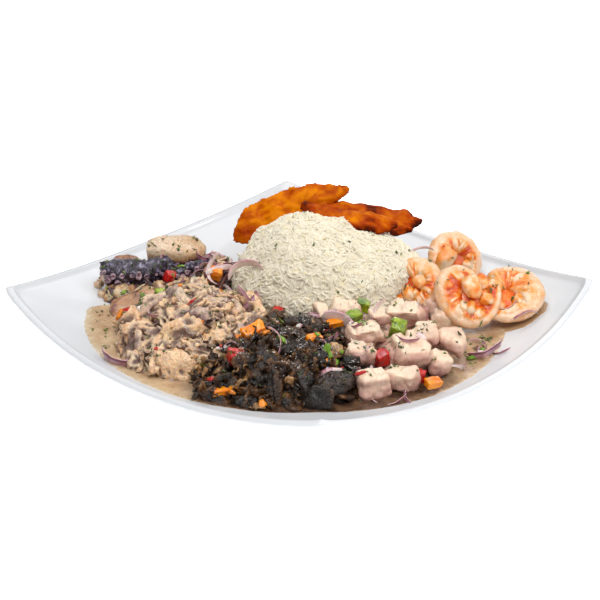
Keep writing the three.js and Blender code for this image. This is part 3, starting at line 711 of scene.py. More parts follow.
def rice_surface(points, normals, relief):
    """The outside of the mound: its skin with relief, a square shoulder and a slump."""
    low, high = box_corners("rice_mound")
    middle = (low + high) / 2
    bearing = np.degrees(np.arctan2(points[:, 1] - middle[1], points[:, 0] - middle[0]))
    shoulder = RICE_SHOULDER["out"] * bell(RICE_SHOULDER["bearing"], RICE_SHOULDER["spread"], bearing)
    shoulder *= bell(RICE_SHOULDER["height"], RICE_SHOULDER["depth"], points[:, 2])
    surface = raised(points, normals, RICE_RELIEF * relief + shoulder)
    slump = RICE_SLUMP["down"] * smoothstep(*RICE_SLUMP["span"], np.abs(points[:, 0] - RICE_SLUMP["peak"]))
    slump *= smoothstep(*RICE_SLUMP["back"], points[:, 1])
    surface[:, 2] -= slump * smoothstep(*RICE_SLUMP["height"], points[:, 2])
    return surface


def build_rice():
    points, normals, faces = node_skin("rice_mound", 2.1 * MM, 8)
    relief = rough(points, 8 * MM, 3, 2) + 1.2 * rough(points, 19 * MM, 5, 2)
    surface = rice_surface(points, normals, relief)
    core = surface - normals * 0.05 * MM
    # The core shows in the gaps between grains; its tone, lower than theirs, paints it a little darker:
    # painted shade in the gaps.
    piece("rice_core", core, faces, boiled_rice("rice_inner"), "rice", "rice_mound", tone=0.3 + 0 * relief)
    places, up = spread_over(surface, faces, GRAIN["apart"], 11)
    dry = (places[:, 2] > MARINADE_LEVEL * MM) | (places[:, 1] > POOL_BACK * MM)
    showing = (up[:, 2] > -0.35) & dry
    places, up = places[showing], up[showing]
    rng = seeded(12)
    count = len(places)
    shape, grain_faces = grain_shape()
    length = GRAIN["length"] * rng.uniform(0.6, 1.15, count)
    width = GRAIN["width"] * rng.uniform(0.85, 1.1, (count, 2))
    grains = shape[None] * np.column_stack([length, width])[:, None, :]
    bend = rng.uniform(-0.1, 0.1, count)
    grains[:, :, 1] += (bend * length)[:, None] * (shape[None, :, 0] ** 2 - 0.08)
    flat, steep = frames_on(up, rng, GRAIN["flat_lean"]), frames_on(up, rng, GRAIN["steep_lean"])
    turns = np.where(rng.random((count, 1, 1)) < GRAIN["steep_share"], steep, flat)
    depth = rng.uniform(-0.8, 0.1, count) * MM
    grains, joined = copies(grains, grain_faces, turns, places + up * depth[:, None])
    tone = np.repeat(np.clip(rng.normal(0.65, 0.22, count), 0, 1), shape.shape[0])
    piece("rice_grains", grains, joined, boiled_rice("rice_outer"), "rice", "rice_mound", tone=tone)


# ---- Plantain -----------------------------------------------------------------------------


def fried_plantain():
    finish = Finish("fried_plantain", 0.45, Specular_IOR_Level=0.04)
    patches = finish.math("MULTIPLY_ADD", finish.noise(0.011, 5, twist=0.8), 1.3, -0.42)
    # The browning attribute holds how well fried each place is, and also painted shade: darker on the slice's
    # low side and in the hollows between its lumps.
    cooked = finish.math("ADD", finish.attribute("cooked"), patches)
    shade = finish.ramp(
        cooked, (0.1, 212, 120, 0), (0.34, 184, 86, 0), (0.58, 154, 54, 0), (0.8, 88, 24, 0), (1.0, 44, 10, 2)
    )
    finish.bump(finish.noise(0.005, 3, stretch=(2, 1, 1)), 0.0011)
    streak = finish.step(finish.noise(0.0022, 3, stretch=(4, 1, 1)), 0.55, 0.75)
    return finish.wear(finish.stained(shade, streak, 0.25, 196, 84, 6))


# How well fried each slice is, from 0, golden, to 1, nearly black.
PLANTAIN_COOKED = dict(plantain_left=0.02, plantain_front=0.16, plantain_back=0.26)


def build_plantains():
    material = fried_plantain()
    for seed, (name, cooked) in enumerate(PLANTAIN_COOKED.items()):
        points, normals, faces = node_skin(name, 0.9 * MM, 5)
        middle = points.mean(0)
        _, _, axes = np.linalg.svd(points - middle, full_matrices=False)
        local = (points - middle) @ axes.T
        edge = 1 - np.abs(normals @ axes[2])
        half_length, half_width = np.abs(local[:, :2]).max(0)
        tips = smoothstep(0.72, 1, np.abs(local[:, 0]) / half_length)
        inward = rough(local, (8 * MM, 14 * MM, 40 * MM), seed + 40, 4)
        ridges = ridged(local, (16 * MM, 9 * MM, 30 * MM), seed + 55)
        lumps = 0.7 * rough(local, 15 * MM, seed + 50, 3) + 0.5 * ridges
        depth = (1.7 + 1.6 * tips) * np.clip(inward, -0.5, 1) * edge
        ragged = raised(points, normals, -MM * depth)
        blunt = 2.4 * MM * tips * (name != "plantain_left")
        ragged = raised(ragged, normals, 1.3 * MM * lumps + blunt)
        low_side = smoothstep(0.35, 1.0, -np.sign(axes[1][2]) * local[:, 1] / half_width)
        # Browner and darker on the low side of the slice and in the hollows between its lumps: painted shade,
        # on top of the real browning of its edges and tips.
        browned_and_shaded = cooked + 0.25 * edge**3 + 0.4 * low_side + 0.25 * tips - 0.24 * lumps
        piece(name + "_slice", ragged, faces, material, "plantain", name, cooked=browned_and_shaded)


# ---- Scattered pieces ---------------------------------------------------------------------


RIM_CLEARANCE = 14  # how far inside the rim the middle of a scattered piece stays
SPARED_MARGIN = 7 * MM  # how far it stays outside the boxes that it spares
STRAND_SIDES = 5


def squared(shape, square):
    """Pushes a unit ball towards a cube: 2 leaves it, 6 makes a cube with soft edges."""
    return shape / (np.abs(shape) ** square).sum(1, keepdims=True) ** (1 / square)


def lumps(detail, square, sizes, unevenness, ridges, rng, seed):
    """Uneven lumps of these sizes: their points, faces and how far out each point stands."""
    shape, faces = ball(detail)
    shape = squared(shape, square)
    offsets = rng.uniform(-50, 50, (len(sizes), 1, 3))
    spread = shape[None] + offsets
    cloud = rough(spread, 0.9, seed) * unevenness + ridged(spread, 0.6, seed + 5) * ridges
    made = shape[None] * (1 + cloud)[..., None] * sizes[:, None, :] / 2
    return made, faces, cloud / (unevenness + ridges)


def shown_places(heap, apart, seed, spared=()):
    """Places on a heap, this far apart, clear of the liquid and of these nodes' boxes."""
    places, up = spread_over(*heap, apart * MM, seed)
    x, y, z = places.T / MM
    within = np.hypot(x, y) < plate_reach(np.arctan2(y, x)) - RIM_CLEARANCE
    shown = within & (z > MARINADE_LEVEL - 1) & (z > plate_height_at(x, y) + 2) & (up[:, 2] > -0.2)
    for node in spared:
        low, high = box_corners(node)
        outside = (places < low - SPARED_MARGIN) | (places > high + SPARED_MARGIN)
        shown &= np.any(outside[:, :2], axis=1)
    return places[shown], up[shown]


def mound_places(mound, count, seed):
    """Places on the upper half of a small mound, and the normals there."""
    rng = seeded(seed)
    up = rng.normal(size=(count, 3))
    up[:, 2] = np.abs(up[:, 2])
    up /= np.linalg.norm(up, axis=1, keepdims=True)
    return (np.array(mound["middle"]) + up * mound["radii"]) * MM, up


def lumps_on(
    places, up, seed, size, proportions, detail=3, square=2.4, unevenness=0.3, ridges=0.1, lean=0.8, sink=1
):
    """Lumps with mean sizes drawn between these two, lying on a heap. Sizes in millimetres."""
    rng = seeded(seed)
    count = len(places)
    sizes = rng.uniform(*size, (count, 1)) * np.array(proportions) * rng.uniform(0.8, 1.2, (count, 3)) * MM
    shapes, ball_faces, cloud = lumps(detail, square, sizes, unevenness, ridges, rng, seed)
    points, joined = copies(shapes, ball_faces, frames_on(up, rng, lean), places - up * sink * MM)
    return points, joined, cloud, rng


def strands_on(
    places, up, seed, length, width, thickness, bend=0.6, ruffle=(0, 0.4), lift=(0, 2), lean=0.7, rings=6
):
    """Strands with measures drawn between these pairs, lying on a heap. In millimetres."""
    rng = seeded(seed)
    count = len(places)
    long = rng.uniform(*length, count) * MM
    wide, thick, wavy = (rng.uniform(*pair, count) * MM for pair in (width, thickness, ruffle))
    shapes, faces = strands(long, wide, thick, long * rng.uniform(-bend, bend, count), wavy, rng, rings)
    lifted = places + up * rng.uniform(*lift, (count, 1)) * MM
    points, joined = copies(shapes, faces, frames_on(up, rng, lean), lifted)
    return points, joined, rng


def drawn_hues(rng, places, mean, spread, added=0, most=1):
    """A hue for each place, drawn round a mean, with something added that may vary over a piece."""
    return np.clip(rng.normal(mean, spread, (len(places), 1)) + added, 0, most)


def strands(length, width, thickness, bend, ruffle, rng, rings, sides=STRAND_SIDES):
    """Bent, tapering strands, each lying along X: their points and faces."""
    count = len(length)
    along = np.linspace(-0.5, 0.5, rings)
    taper = np.sqrt(np.maximum(0, 1 - (2 * np.abs(along)) ** 3)) * 0.8 + 0.2
    angle = np.arange(sides) * 2 * math.pi / sides
    phase, waves = rng.uniform(0, 6.3, (2, count, 1)), rng.uniform(2, 5, (count, 1))
    curve = bend[:, None] * (along[None] ** 2 - 0.08)
    wave = ruffle[:, None] * np.sin(phase[0] + 2 * math.pi * waves * along[None])
    made = np.empty((count, rings, sides, 3))
    made[..., 0] = (length[:, None] * along)[..., None]
    made[..., 1] = curve[..., None] + (width[:, None] * taper / 2)[..., None] * np.cos(angle)
    made[..., 2] = wave[..., None] + (thickness[:, None] * taper / 2)[..., None] * np.sin(angle)
    flat = made.reshape(count, -1, 3)
    caps = flat.reshape(count, rings, sides, 3)[:, [0, -1]].mean(2)
    _, faces = loft(made[0])
    return np.concatenate([flat, caps], 1), faces


def sunken(points, lowered):
    """Points let down by lowered(points), but no further than into the plate's thickness."""
    x, y, z = points.T / MM
    inside_plate = plate_height_at(x, y) - PLATE["thickness"] / 2
    height = np.maximum(np.minimum(z, inside_plate), z - lowered(points) / MM)
    return np.column_stack([points[:, :2], height * MM])


def heap_core(node, name, slot, material, seed, voxel, smoothing, sink, relief, grain, lowered=None):
    """A piece for the inside of a heap. Gives back the heap's surface, where things lie.

    The sizes, in millimetres, are the skin's voxels, how far the core lies under the surface, and
    how high and how wide the surface's lumps are.
    """
    points, normals, faces = node_skin(node, voxel * MM, smoothing)
    bumps = rough(points, grain * MM, seed)
    surface = raised(points, normals, relief * MM * bumps)
    core = surface - normals * (sink * MM)
    if lowered is not None:
        surface, core = sunken(surface, lowered), sunken(core, lowered)
    # The core's tone follows its bumps and is lower in the hollows; crab_look reads it to paint shade there.
    piece(name, core, faces, material, slot, node, tone=0.4 + 0.3 * bumps, hue=0.5 + 0.5 * bumps)
    return surface, faces


def scattered(name, batches, material, slot, *nodes):
    """One piece out of batches of (points, faces, attributes)."""
    points, faces, attributes = join(batches)
    piece(name, points, faces, material, slot, *nodes, **attributes)


# ---- Crab ---------------------------------------------------------------------------------


def crab_look():
    finish = Finish("crab_meat", 0.36, coat=(0.35, 0.1), scatter=(0.25, 0.002))
    meat = finish.ramp(
        finish.varied("hue", 0.004, 3, 0.5),
        (0.0, 146, 118, 124),
        (0.2, 206, 180, 160),
        (0.5, 240, 208, 170),
        (0.78, 234, 182, 128),
        (1.0, 208, 130, 66),
    )
    # Low tone, on the hollows of the lumps and on the sunken core between them, is darkened towards brown:
    # painted shade.
    painted_gap_shade = finish.step(finish.attribute("tone"), 0.58, 0.16)
    shade = finish.mottled(finish.stained(meat, painted_gap_shade, 0.9, 92, 62, 54), 0.0018, 0.45, 158, 122, 108)
    finish.bump(finish.noise(0.0014, 4), 0.0013)
    return finish.wear(shade)


def build_crab():
    material = crab_look()
    heap = heap_core(
        "crab_heap", "crab_core", "crab", material, 60, voxel=1.8, smoothing=5, sink=2.2, relief=1.8, grain=8
    )
    spared = ("octopus_slice_front",)
    # Lumps, which are a little more orange towards the left front.
    places, up = shown_places(heap, 10.5, 61, spared)
    points, joined, cloud, rng = lumps_on(
        places, up, 62, (12, 22), (1.35, 0.85, 0.55),
        detail=4, unevenness=0.36, ridges=0.26, lean=0.6, sink=0.4
    )
    orange = bell(-100 * MM, 18 * MM, points[..., 0]) * bell(-60 * MM, 22 * MM, points[..., 1])
    hue = drawn_hues(rng, places, 0.42, 0.18, 0.25 * cloud + 0.08 * orange, most=0.62)
    # Tone follows each lump's relief, lower in its hollows, where the look paints shade.
    batches = [(points, joined, dict(hue=hue, tone=0.42 + 0.9 * cloud))]
    # Thick shreds.
    places, up = shown_places(heap, 10, 67, spared)
    points, joined, rng = strands_on(
        places, up, 68, (12, 24), (3, 6.5), (1.6, 3),
        bend=0.5, ruffle=(0.3, 1.4), lift=(0.5, 3), lean=0.5, rings=18,
    )
    hue = drawn_hues(rng, places, 0.48, 0.2, 0.25 * rough(points, 5 * MM, 69), most=0.7)
    tone = 0.5 + 0.5 * rough(points, 3 * MM, 70)
    frayed = points + 0.9 * MM * rough(points, 3 * MM, 71)[..., None]
    batches.append((frayed, joined, dict(hue=hue, tone=tone)))
    # Crumbs.
    places, up = shown_places(heap, 6.4, 63, spared)
    points, joined, cloud, rng = lumps_on(
        places, up, 64, (2.5, 6.5), (1.4, 0.8, 0.55),
        detail=2, unevenness=0.6, ridges=0.3, lean=1.2, sink=-1.2
    )
    hue = drawn_hues(rng, places, 0.42, 0.22, 0.2 * cloud)
    # The crumbs' tone, too, follows their relief, for painted shade in their hollows.
    batches.append((points, joined, dict(hue=hue, tone=0.5 + 0.6 * cloud)))
    # Fine threads.
    places, up = shown_places(heap, 6, 65, spared)
    points, joined, rng = strands_on(places, up, 66, (4, 10), (0.5, 1.6), (0.4, 0.9), ruffle=(0.1, 0.7))
    hue = drawn_hues(rng, places, 0.35, 0.2)
    batches.append((points, joined, dict(hue=hue, tone=rng.uniform(0.3, 0.9, (len(places), 1)))))
    scattered("crab_flakes", batches, material, "crab", "crab_heap")


# ---- Clams --------------------------------------------------------------------------------


def clam_look():
    finish = Finish("black_clam", 0.4, coat=(0.75, 0.06), Specular_IOR_Level=0.15)
    shade = finish.ramp(
        finish.varied("hue", 0.005, 4, 0.5),
        (0.0, 8, 4, 1),
        (0.35, 32, 17, 5),
        (0.6, 84, 50, 18),
        (0.8, 142, 96, 50),
        (1.0, 194, 150, 102),
    )
    violet = finish.step(finish.noise(0.011, 3), 0.56, 0.72)
    shade = finish.mottled(finish.stained(shade, violet, 0.4, 48, 32, 36), 0.0022, 0.5, 14, 8, 3)
    finish.bump(finish.noise(0.0018, 4), 0.0014)
    return finish.wear(shade)


def froth_and_glint_look():
    finish = Finish("froth_and_glints", 0.12, coat=(1.0, 0.03), IOR=1.33)
    # Pale grey-white: the froth's own colour, and painted glints.
    return finish.wear(finish.ramp(finish.noise(0.004, 2), (0.35, 150, 134, 122), (0.65, 236, 232, 228)))


def build_froth_and_glints():
    """Small bubbles in patches over the clams and their juice: partly froth, and partly painted glints, pale
    points that stand in for the clams' sparkle.
    """
    rng = seeded(81)
    patches = [place / MM for place, _ in landed(ON_CLAMS, 55, rng)]
    # Each patch's radii are drawn just before its bubbles.
    regions = (((*patch[:2], *rng.uniform(2, 6, 2)), 16) for patch in patches)
    places, up = landed_on(regions, rng)
    points, joined, _, _ = lumps_on(
        places, up, 82, (0.35, 1.0), (1, 1, 0.8), detail=1, square=2, unevenness=0.1, ridges=0, sink=0
    )
    piece("clam_froth_and_glints", points, joined, froth_and_glint_look(), "marinade")


CLAMS_PALENESS = dict(clam_front=0.1, clam_right=0.5, clam_middle=0.1, clam_back=0.1)


def build_clams():
    material = clam_look()
    heap = heap_core(
        "clam_heap", "clam_core", "clam", material, 70, voxel=1.8, smoothing=5, sink=2.4, relief=2.4, grain=9
    )
    # Lumps.
    places, up = shown_places(heap, 9.5, 71)
    points, joined, cloud, rng = lumps_on(
        places, up, 72, (9, 20), (1.3, 0.85, 0.45), detail=4, unevenness=0.36, lean=0.6, sink=0.5
    )
    batches = [(points, joined, dict(hue=drawn_hues(rng, places, 0.34, 0.15, 0.35 * cloud)))]
    # Strings.
    places, up = shown_places(heap, 7, 73)
    points, joined, rng = strands_on(
        places, up, 74, (6, 16), (0.8, 2.4), (0.6, 1.4), bend=1.0, ruffle=(0.1, 0.8), lift=(1, 3.5), rings=12
    )
    batches.append((points, joined, dict(hue=drawn_hues(rng, places, 0.34, 0.25))))
    # Ruffled skirts, paler along both rims.
    places, up = shown_places(heap, 5, 75)
    points, joined, rng = strands_on(
        places, up, 76, (10, 22), (3, 7), (0.6, 1.0),
        bend=0.9, ruffle=(0.8, 2.2), lift=(0.8, 3.6), lean=0.9, rings=12,
    )
    around = np.arange(STRAND_SIDES) * 2 * math.pi / STRAND_SIDES
    rims = np.append(np.tile(np.abs(np.cos(around)), 12), [1, 1])
    batches.append((points, joined, dict(hue=drawn_hues(rng, places, 0.36, 0.2, 0.3 * rims**2))))
    # Crumbs.
    places, up = shown_places(heap, 11, 77)
    points, joined, cloud, rng = lumps_on(
        places, up, 78, (1.5, 4), (1.3, 0.9, 0.6), detail=2, unevenness=0.5, ridges=0.2, lean=1.2, sink=-1.2
    )
    batches.append((points, joined, dict(hue=drawn_hues(rng, places, 0.55, 0.3, 0.2 * cloud))))
    scattered("clam_strips", batches, material, "clam", "clam_heap")
    for seed, (name, paleness) in enumerate(CLAMS_PALENESS.items()):
        points, normals, faces = node_skin(name, 0.7 * MM, 4)
        folds = rough(points, 7 * MM, seed + 80, 4)
        folded = raised(points, normals, 2 * MM * folds)
        piece(name + "_meat", folded, faces, material, "clam", name, hue=0.25 + paleness * (1 + folds))


# ---- Fish ---------------------------------------------------------------------------------


# The end of the heap of fish, which fills the gap below the shrimps.
FISH_END = dict(middle=(84, -20, 22), radii=(15, 12, 9))
# The heap goes under the liquid towards the right front, between these distances along FISH_SHORE_WAY.
FISH_SHORE_WAY = np.array([0.6, -0.8])
FISH_SHORE = (108 * MM, 126 * MM)
FISH_SUNK = 13 * MM
FISH_CUBES = 13  # the cubes that have a node of their own


def fish_look():
    finish = Finish(
        "cured_fish", 0.4, coat=(0.2, 0.15), scatter=(0.4, 0.003), Subsurface_Radius=(1.0, 0.6, 0.45)
    )
    flesh = finish.ramp(
        finish.varied("hue", 0.009, 3, 0.6),
        (0.0, 230, 206, 180),
        (0.35, 218, 186, 162),
        (0.7, 194, 150, 136),
        (1.0, 148, 98, 96),
    )
    vein = finish.step(finish.noise(0.0026, 3, stretch=(1, 6, 1), twist=0.4), 0.6, 0.7)
    shade = finish.stained(flesh, vein, 0.3, 186, 138, 124)
    speck = finish.step(finish.noise(0.0015, 1), 0.76, 0.8)
    finish.bump(finish.noise(0.0026, 3, stretch=(1, 5, 1)), 0.0006)
    return finish.wear(finish.mix(speck, shade, colour(74, 72, 44)))


def fish_lowered(points):
    return FISH_SUNK * smoothstep(*FISH_SHORE, points[:, :2] @ FISH_SHORE_WAY)


def build_fish():
    material = fish_look()
    heap = heap_core(
        "fish_bed", "fish_core", "fish", material, 90,
        voxel=1.5, smoothing=8, sink=4, relief=1.2, grain=8, lowered=fish_lowered,
    )
    on_heap, at_end = shown_places(heap, 14, 91), mound_places(FISH_END, 7, 93)
    batches = []
    for (places, up), seed, size in ((on_heap, 92, (15, 23)), (at_end, 94, (14, 19))):
        points, joined, cloud, rng = lumps_on(
            places, up, seed, size, (1.1, 1.0, 0.8),
            detail=4, square=3.6, unevenness=0.2, ridges=0.06, lean=0.4
        )
        hue = rng.normal(0.55, 0.2, (len(places), 1)) - 0.2 * cloud
        batches.append((points, joined, dict(hue=hue)))
    scattered("fish_pieces", batches, material, "fish", "fish_bed")
    for number in range(1, FISH_CUBES + 1):
        node = f"fish_cube_{number}"
        points, normals, faces = node_skin(node, 0.8 * MM, 9)
        uneven = rough(points, 13 * MM, 100 + number, 3)
        fine = rough(points, (1.6 * MM, 5 * MM, 2 * MM), 120 + number)
        folds = ridged(points, 15 * MM, 140 + number, 2)
        lift = 0.7 * MM + 3.2 * MM * uneven + 0.25 * MM * fine + 1.6 * MM * np.minimum(folds, 0.2)
        # Paler on top, darker and pinker on the sides and below, by the way each surface faces: painted light
        # and shade.
        hue = 0.5 - 0.5 * normals[:, 2] + 0.3 * uneven
        piece(f"fish_{number}", raised(points, normals, lift), faces, material, "fish", node, hue=hue)


# ---- Shrimps ------------------------------------------------------------------------------

# Each curls from its tail, at `start` degrees, through `curl` degrees to its head. `deep` is how
# deep the body is at the tail, at its fullest and at the head; `tuck` is how far the head curls in.
# `lumps` are the round ends in the ring, and `pale` is the stretch that lost its orange.
SHRIMPS = dict(
    shrimp_front=dict(reach=25, deep=(13, 22, 15), tuck=14, curl=-350, start=12, lean=47, yaw=3, drift=6,
                      lumps=((2, 3, 19),), pale=(0, 0)),
    shrimp_back=dict(reach=20, deep=(12, 21, 19), tuck=3, curl=285, start=-62, lean=56, yaw=8, drift=5,
                     lumps=((-8, -1, 20),), pale=(0, 0)),
    shrimp_left=dict(reach=19.5, deep=(11, 19, 16), tuck=2, curl=290, start=215, lean=40, yaw=-22, drift=3,
                     lumps=((-3, -9, 14), (4, 1, 12)), pale=(0.55, 0.9)),
    shrimp_right=dict(reach=24, deep=(9, 25, 20), tuck=2, curl=265, start=245, lean=24, yaw=-18, drift=1,
                      lumps=((-10, 2, 14),), pale=(0.1, 0.6)),
    shrimp_under=dict(reach=20, deep=(10, 18, 15), tuck=0, curl=-240, start=130, lean=14, yaw=10, drift=1,
                      lumps=(), pale=(0, 1)),
)
SHRIMP_FILLING = dict(width=1.15, height=8)  # the tucked flesh in the ring: its width is in reaches
SHRIMP_KNOBS = dict(count=6, out=(0.42, 0.56), size=(0.36, 0.48), height=2.2)  # in reaches, and millimetres
SHRIMP_THICKNESS = 0.62  # how thick the body is, as a share of how deep it is
SHRIMP_SEGMENTS = 5
SHRIMP_BACK = math.radians(60)  # the smooth back ends in a groove this far round from its middle


def shrimp_rings(spec, seed):
    """Rings of points along a curled shrimp, with how orange and how creased each point is."""
    share = np.linspace(0, 1, 104)[:, None]
    around = np.linspace(-math.pi, math.pi, 38, endpoint=False)[None, :]
    angle = np.radians(spec["start"] + spec["curl"] * share)
    tail = np.sqrt(np.maximum(1e-3, 1 - np.maximum(0, 1 - share / 0.05) ** 2))
    head = np.sqrt(np.maximum(1e-3, 1 - np.maximum(0, (share - 0.9) / 0.1) ** 2))
    full = np.interp(share, (0, 0.55, 1), spec["deep"]) / 2
    half = full * tail * head
    edge = spec["reach"] - spec["tuck"] * smoothstep(0.6, 1, share)
    middle = edge - full * tail
    side = np.abs(around)
    belly = smoothstep(SHRIMP_BACK, SHRIMP_BACK + 0.25, side)
    flat = np.stack(np.broadcast_arrays(edge * np.cos(angle), edge * np.sin(angle), 6 * around), -1)
    mottle = rough(flat, 5, seed)
    wave = np.abs(np.sin(math.pi * (SHRIMP_SEGMENTS * share**1.1 + 1.0 * rough(flat, 8, seed + 9, 2))))
    groove = bell(SHRIMP_BACK, 0.09, side)
    creases = smoothstep(0.35, 0.0, wave) * belly * smoothstep(2.3, 1.7, side)
    inner = bell(1.6, 0.42, side)
    white = np.clip(smoothstep(0.1, 0.95, wave) * inner * (1.0 + 0.8 * noise(flat, 8, seed + 5)), 0, 1)
    swell = 1 - 0.1 * groove + belly * (0.24 * white - 0.1 * creases - 0.06)
    across = half * swell * np.cos(around)
    up = SHRIMP_THICKNESS * half * swell * np.sin(around)
    radius = middle + across
    lift = spec["drift"] * (share**2 - 0.3)
    points = np.stack([radius * np.cos(angle), radius * np.sin(angle), lift + up], -1)
    points = points + 0.5 * np.stack([rough(points, 4, seed + k) for k in (1, 2, 3)], -1)
    cut = smoothstep(0.84, 0.93, share)
    pale = smoothstep(0, 0.1, share - spec["pale"][0]) * smoothstep(0, 0.1, spec["pale"][1] - share)
    orange = belly * np.clip(0.88 - 0.7 * white + 0.7 * mottle, 0, 1) * (1 - 0.9 * cut) * (1 - 0.65 * pale)
    orange = orange + 0.1 * (1 - belly) * (1 + mottle) + 0.16 * cut
    vein = bell(0.5, 0.05, side) * smoothstep(-0.1, 0.5, mottle)
    crease = np.clip(0.3 * groove + 0.4 * creases * (1 - cut) * (0.6 + 0.8 * mottle) + 0.3 * vein, 0, 1)
    return points, orange, crease


def shrimp_look():
    finish = Finish(
        "cooked_shrimp", 0.27, coat=(0.4, 0.08), scatter=(0.35, 0.003), Subsurface_Radius=(1.0, 0.5, 0.35)
    )
    fine = finish.math("MULTIPLY_ADD", finish.noise(0.0028, 4), 0.7, -0.35)
    orange = finish.math("ADD", finish.attribute("orange"), finish.math("MULTIPLY", fine, 0.6))
    flesh = finish.ramp(
        orange,
        (0.05, 232, 196, 162),
        (0.25, 232, 166, 100),
        (0.5, 232, 134, 38),
        (0.8, 222, 94, 0),
        (1.0, 196, 66, 0),
    )
    finish.bump(finish.noise(0.0016, 3), 0.0004)
    return finish.wear(finish.stained(flesh, finish.attribute("crease"), 0.45, 206, 96, 36))


def shrimp_lumps(spec, seed):
    """The round ends and curled-in parts of the flesh that fill the middle of the ring. Their lower halves
    and the filling are painted a deeper orange: painted shade between the lumps.
    """
    rng = seeded(seed)
    filling = SHRIMP_FILLING["width"] * spec["reach"]
    knobs = [(x, y, size / 5, size) for x, y, size in spec["lumps"]]
    count = SHRIMP_KNOBS["count"]
    for k in range(count):
        turn = math.radians(spec["start"] + spec["curl"] * (k + rng.uniform(0.2, 0.8)) / count)
        out, size = (spec["reach"] * rng.uniform(*SHRIMP_KNOBS[key]) for key in ("out", "size"))
        knobs.append((out * math.cos(turn), out * math.sin(turn), SHRIMP_KNOBS["height"], size))
    places = np.array([(0, 0, -1)] + [knob[:3] for knob in knobs])
    knob_sizes = [(size, 0.85 * size, 0.75 * size) for *_, size in knobs]
    sizes = np.array([(filling, filling, SHRIMP_FILLING["height"])] + knob_sizes)
    shapes, faces, cloud = lumps(3, 2, sizes, 0.24, 0.06, rng, seed)
    turns = np.stack([turn_matrix(0, 0, turn) for turn in rng.uniform(0, 180, len(sizes))])
    # Lower halves are painted a deeper orange, as painted shade between the lumps; the filling counts as low
    # throughout.
    low = smoothstep(0.5, -0.5, 2 * shapes[..., 2] / sizes[:, None, 2])
    low[0] = 0.8
    points, faces = copies(shapes, faces, turns, places)
    edge = rough(points, 5, seed + 1)
    return points, faces, dict(orange=np.clip(0.3 + 0.5 * edge - 0.1 * cloud + 0.6 * low, 0, 1), crease=0)


def build_shrimps():
    material = shrimp_look()
    for seed, (name, spec) in enumerate(SHRIMPS.items()):
        rings, orange, crease = shrimp_rings(spec, 10 * seed)
        body, faces = loft(rings)
        # The last two points are the ends of the tail and the head.
        orange = np.concatenate([orange.ravel(), [0.6, 0.05]])
        crease = np.concatenate([crease.ravel(), [0, 0]])
        ring = (body, faces, dict(orange=orange, crease=crease))
        points, faces, attributes = join([ring, shrimp_lumps(spec, 50 + seed)])
        turned = points @ turn_matrix(spec["lean"], 0, spec["yaw"]).T
        piece(name + "_meat", fit(turned, name), faces, material, "shrimp", name, **attributes)


# ---- Octopus ------------------------------------------------------------------------------

ARMS = dict(
    octopus_arm=dict(
        path=[(-143, 42, 44), (-131, 42, 35), (-107, 52, 30), (-88, 66, 30), (-70, 76, 29)],
        thickness=(3, 19, 22, 20, 15),
        rows=(-40, -10, 22),
    ),
    octopus_curl=dict(
        path=[(-92, 48, 27), (-78, 55, 31), (-62, 54, 36), (-54, 45, 37), (-55, 33, 33)],
        thickness=(10, 10, 10, 9, 8),
        rows=(-20, 20),
    ),
)
# The tangle of trimmings between the arm and the rice.
TANGLE = dict(middle=(-54, 50, 20), radii=(11, 18, 21))
# Trimmings under the arm where it ends at the left.
ARM_END = dict(middle=(-121, 35, 22), radii=(14, 9, 5))
SUCKER = dict(radius=2.7, pitch=5.6, droop=16)
HEAD_SMOOTHING = 60
HEAD_SAG = 6 * MM  # how far the head's underside hangs down onto what lies below
ARM_DEPTH = 0.8  # from front to back, as a share of its height


def smooth_path(path, count):
    """Points along a curve through all the given ones, and the curve's directions there."""
    knots = np.array(path, float)
    padded = np.concatenate([[2 * knots[0] - knots[1]], knots, [2 * knots[-1] - knots[-2]]])
    at = np.linspace(0, len(knots) - 1, count)
    step = np.minimum(at.astype(int), len(knots) - 2)
    t = (at - step)[:, None]
    a, b, c, d = (padded[step + k] for k in range(4))
    points = 0.5 * (2 * b + (c - a) * t + (2 * a - 5 * b + 4 * c - d) * t**2 + (3 * b - a - 3 * c + d) * t**3)
    along = np.gradient(points, axis=0)
    return points, along / np.linalg.norm(along, axis=1, keepdims=True)


def sucker_shape(sides=14):
    """A cup of unit radius that opens along Z."""
    angle = np.arange(sides) * 2 * math.pi / sides
    outside = ((0.9, -0.9), (1.0, -0.1), (1.04, 0.35), (0.88, 0.62))
    inside = ((0.62, 0.6), (0.42, 0.3), (0.2, 0.12))
    rings = []
    for radius, height in outside + inside:
        rings.append(np.stack([radius * np.cos(angle), radius * np.sin(angle), np.full(sides, height)], -1))
    return loft(np.array(rings))


def octopus_skin_look():
    finish = Finish("octopus_skin", 0.28, coat=(0.6, 0.08))
    mottle = finish.noise(0.0034, 4, twist=0.6)
    # The palest, bluish-grey patches of the mottle are painted glints, standing in for reflections on the wet
    # skin.
    skin = finish.ramp(
        mottle, (0.36, 18, 9, 20), (0.5, 34, 20, 40), (0.59, 70, 58, 82), (0.68, 142, 140, 160)
    )
    fine = finish.noise(0.0026, 4)
    pink = finish.ramp(fine, (0.4, 84, 62, 74), (0.5, 156, 124, 136), (0.66, 196, 170, 178))
    flesh = finish.ramp(finish.noise(0.005, 3), (0.3, 226, 186, 158), (0.7, 240, 212, 190))
    shade = finish.mix(finish.attribute("sucker"), skin, pink)
    finish.bump(finish.noise(0.0016, 4), 0.001)
    return finish.wear(finish.mix(finish.attribute("flesh"), shade, flesh))


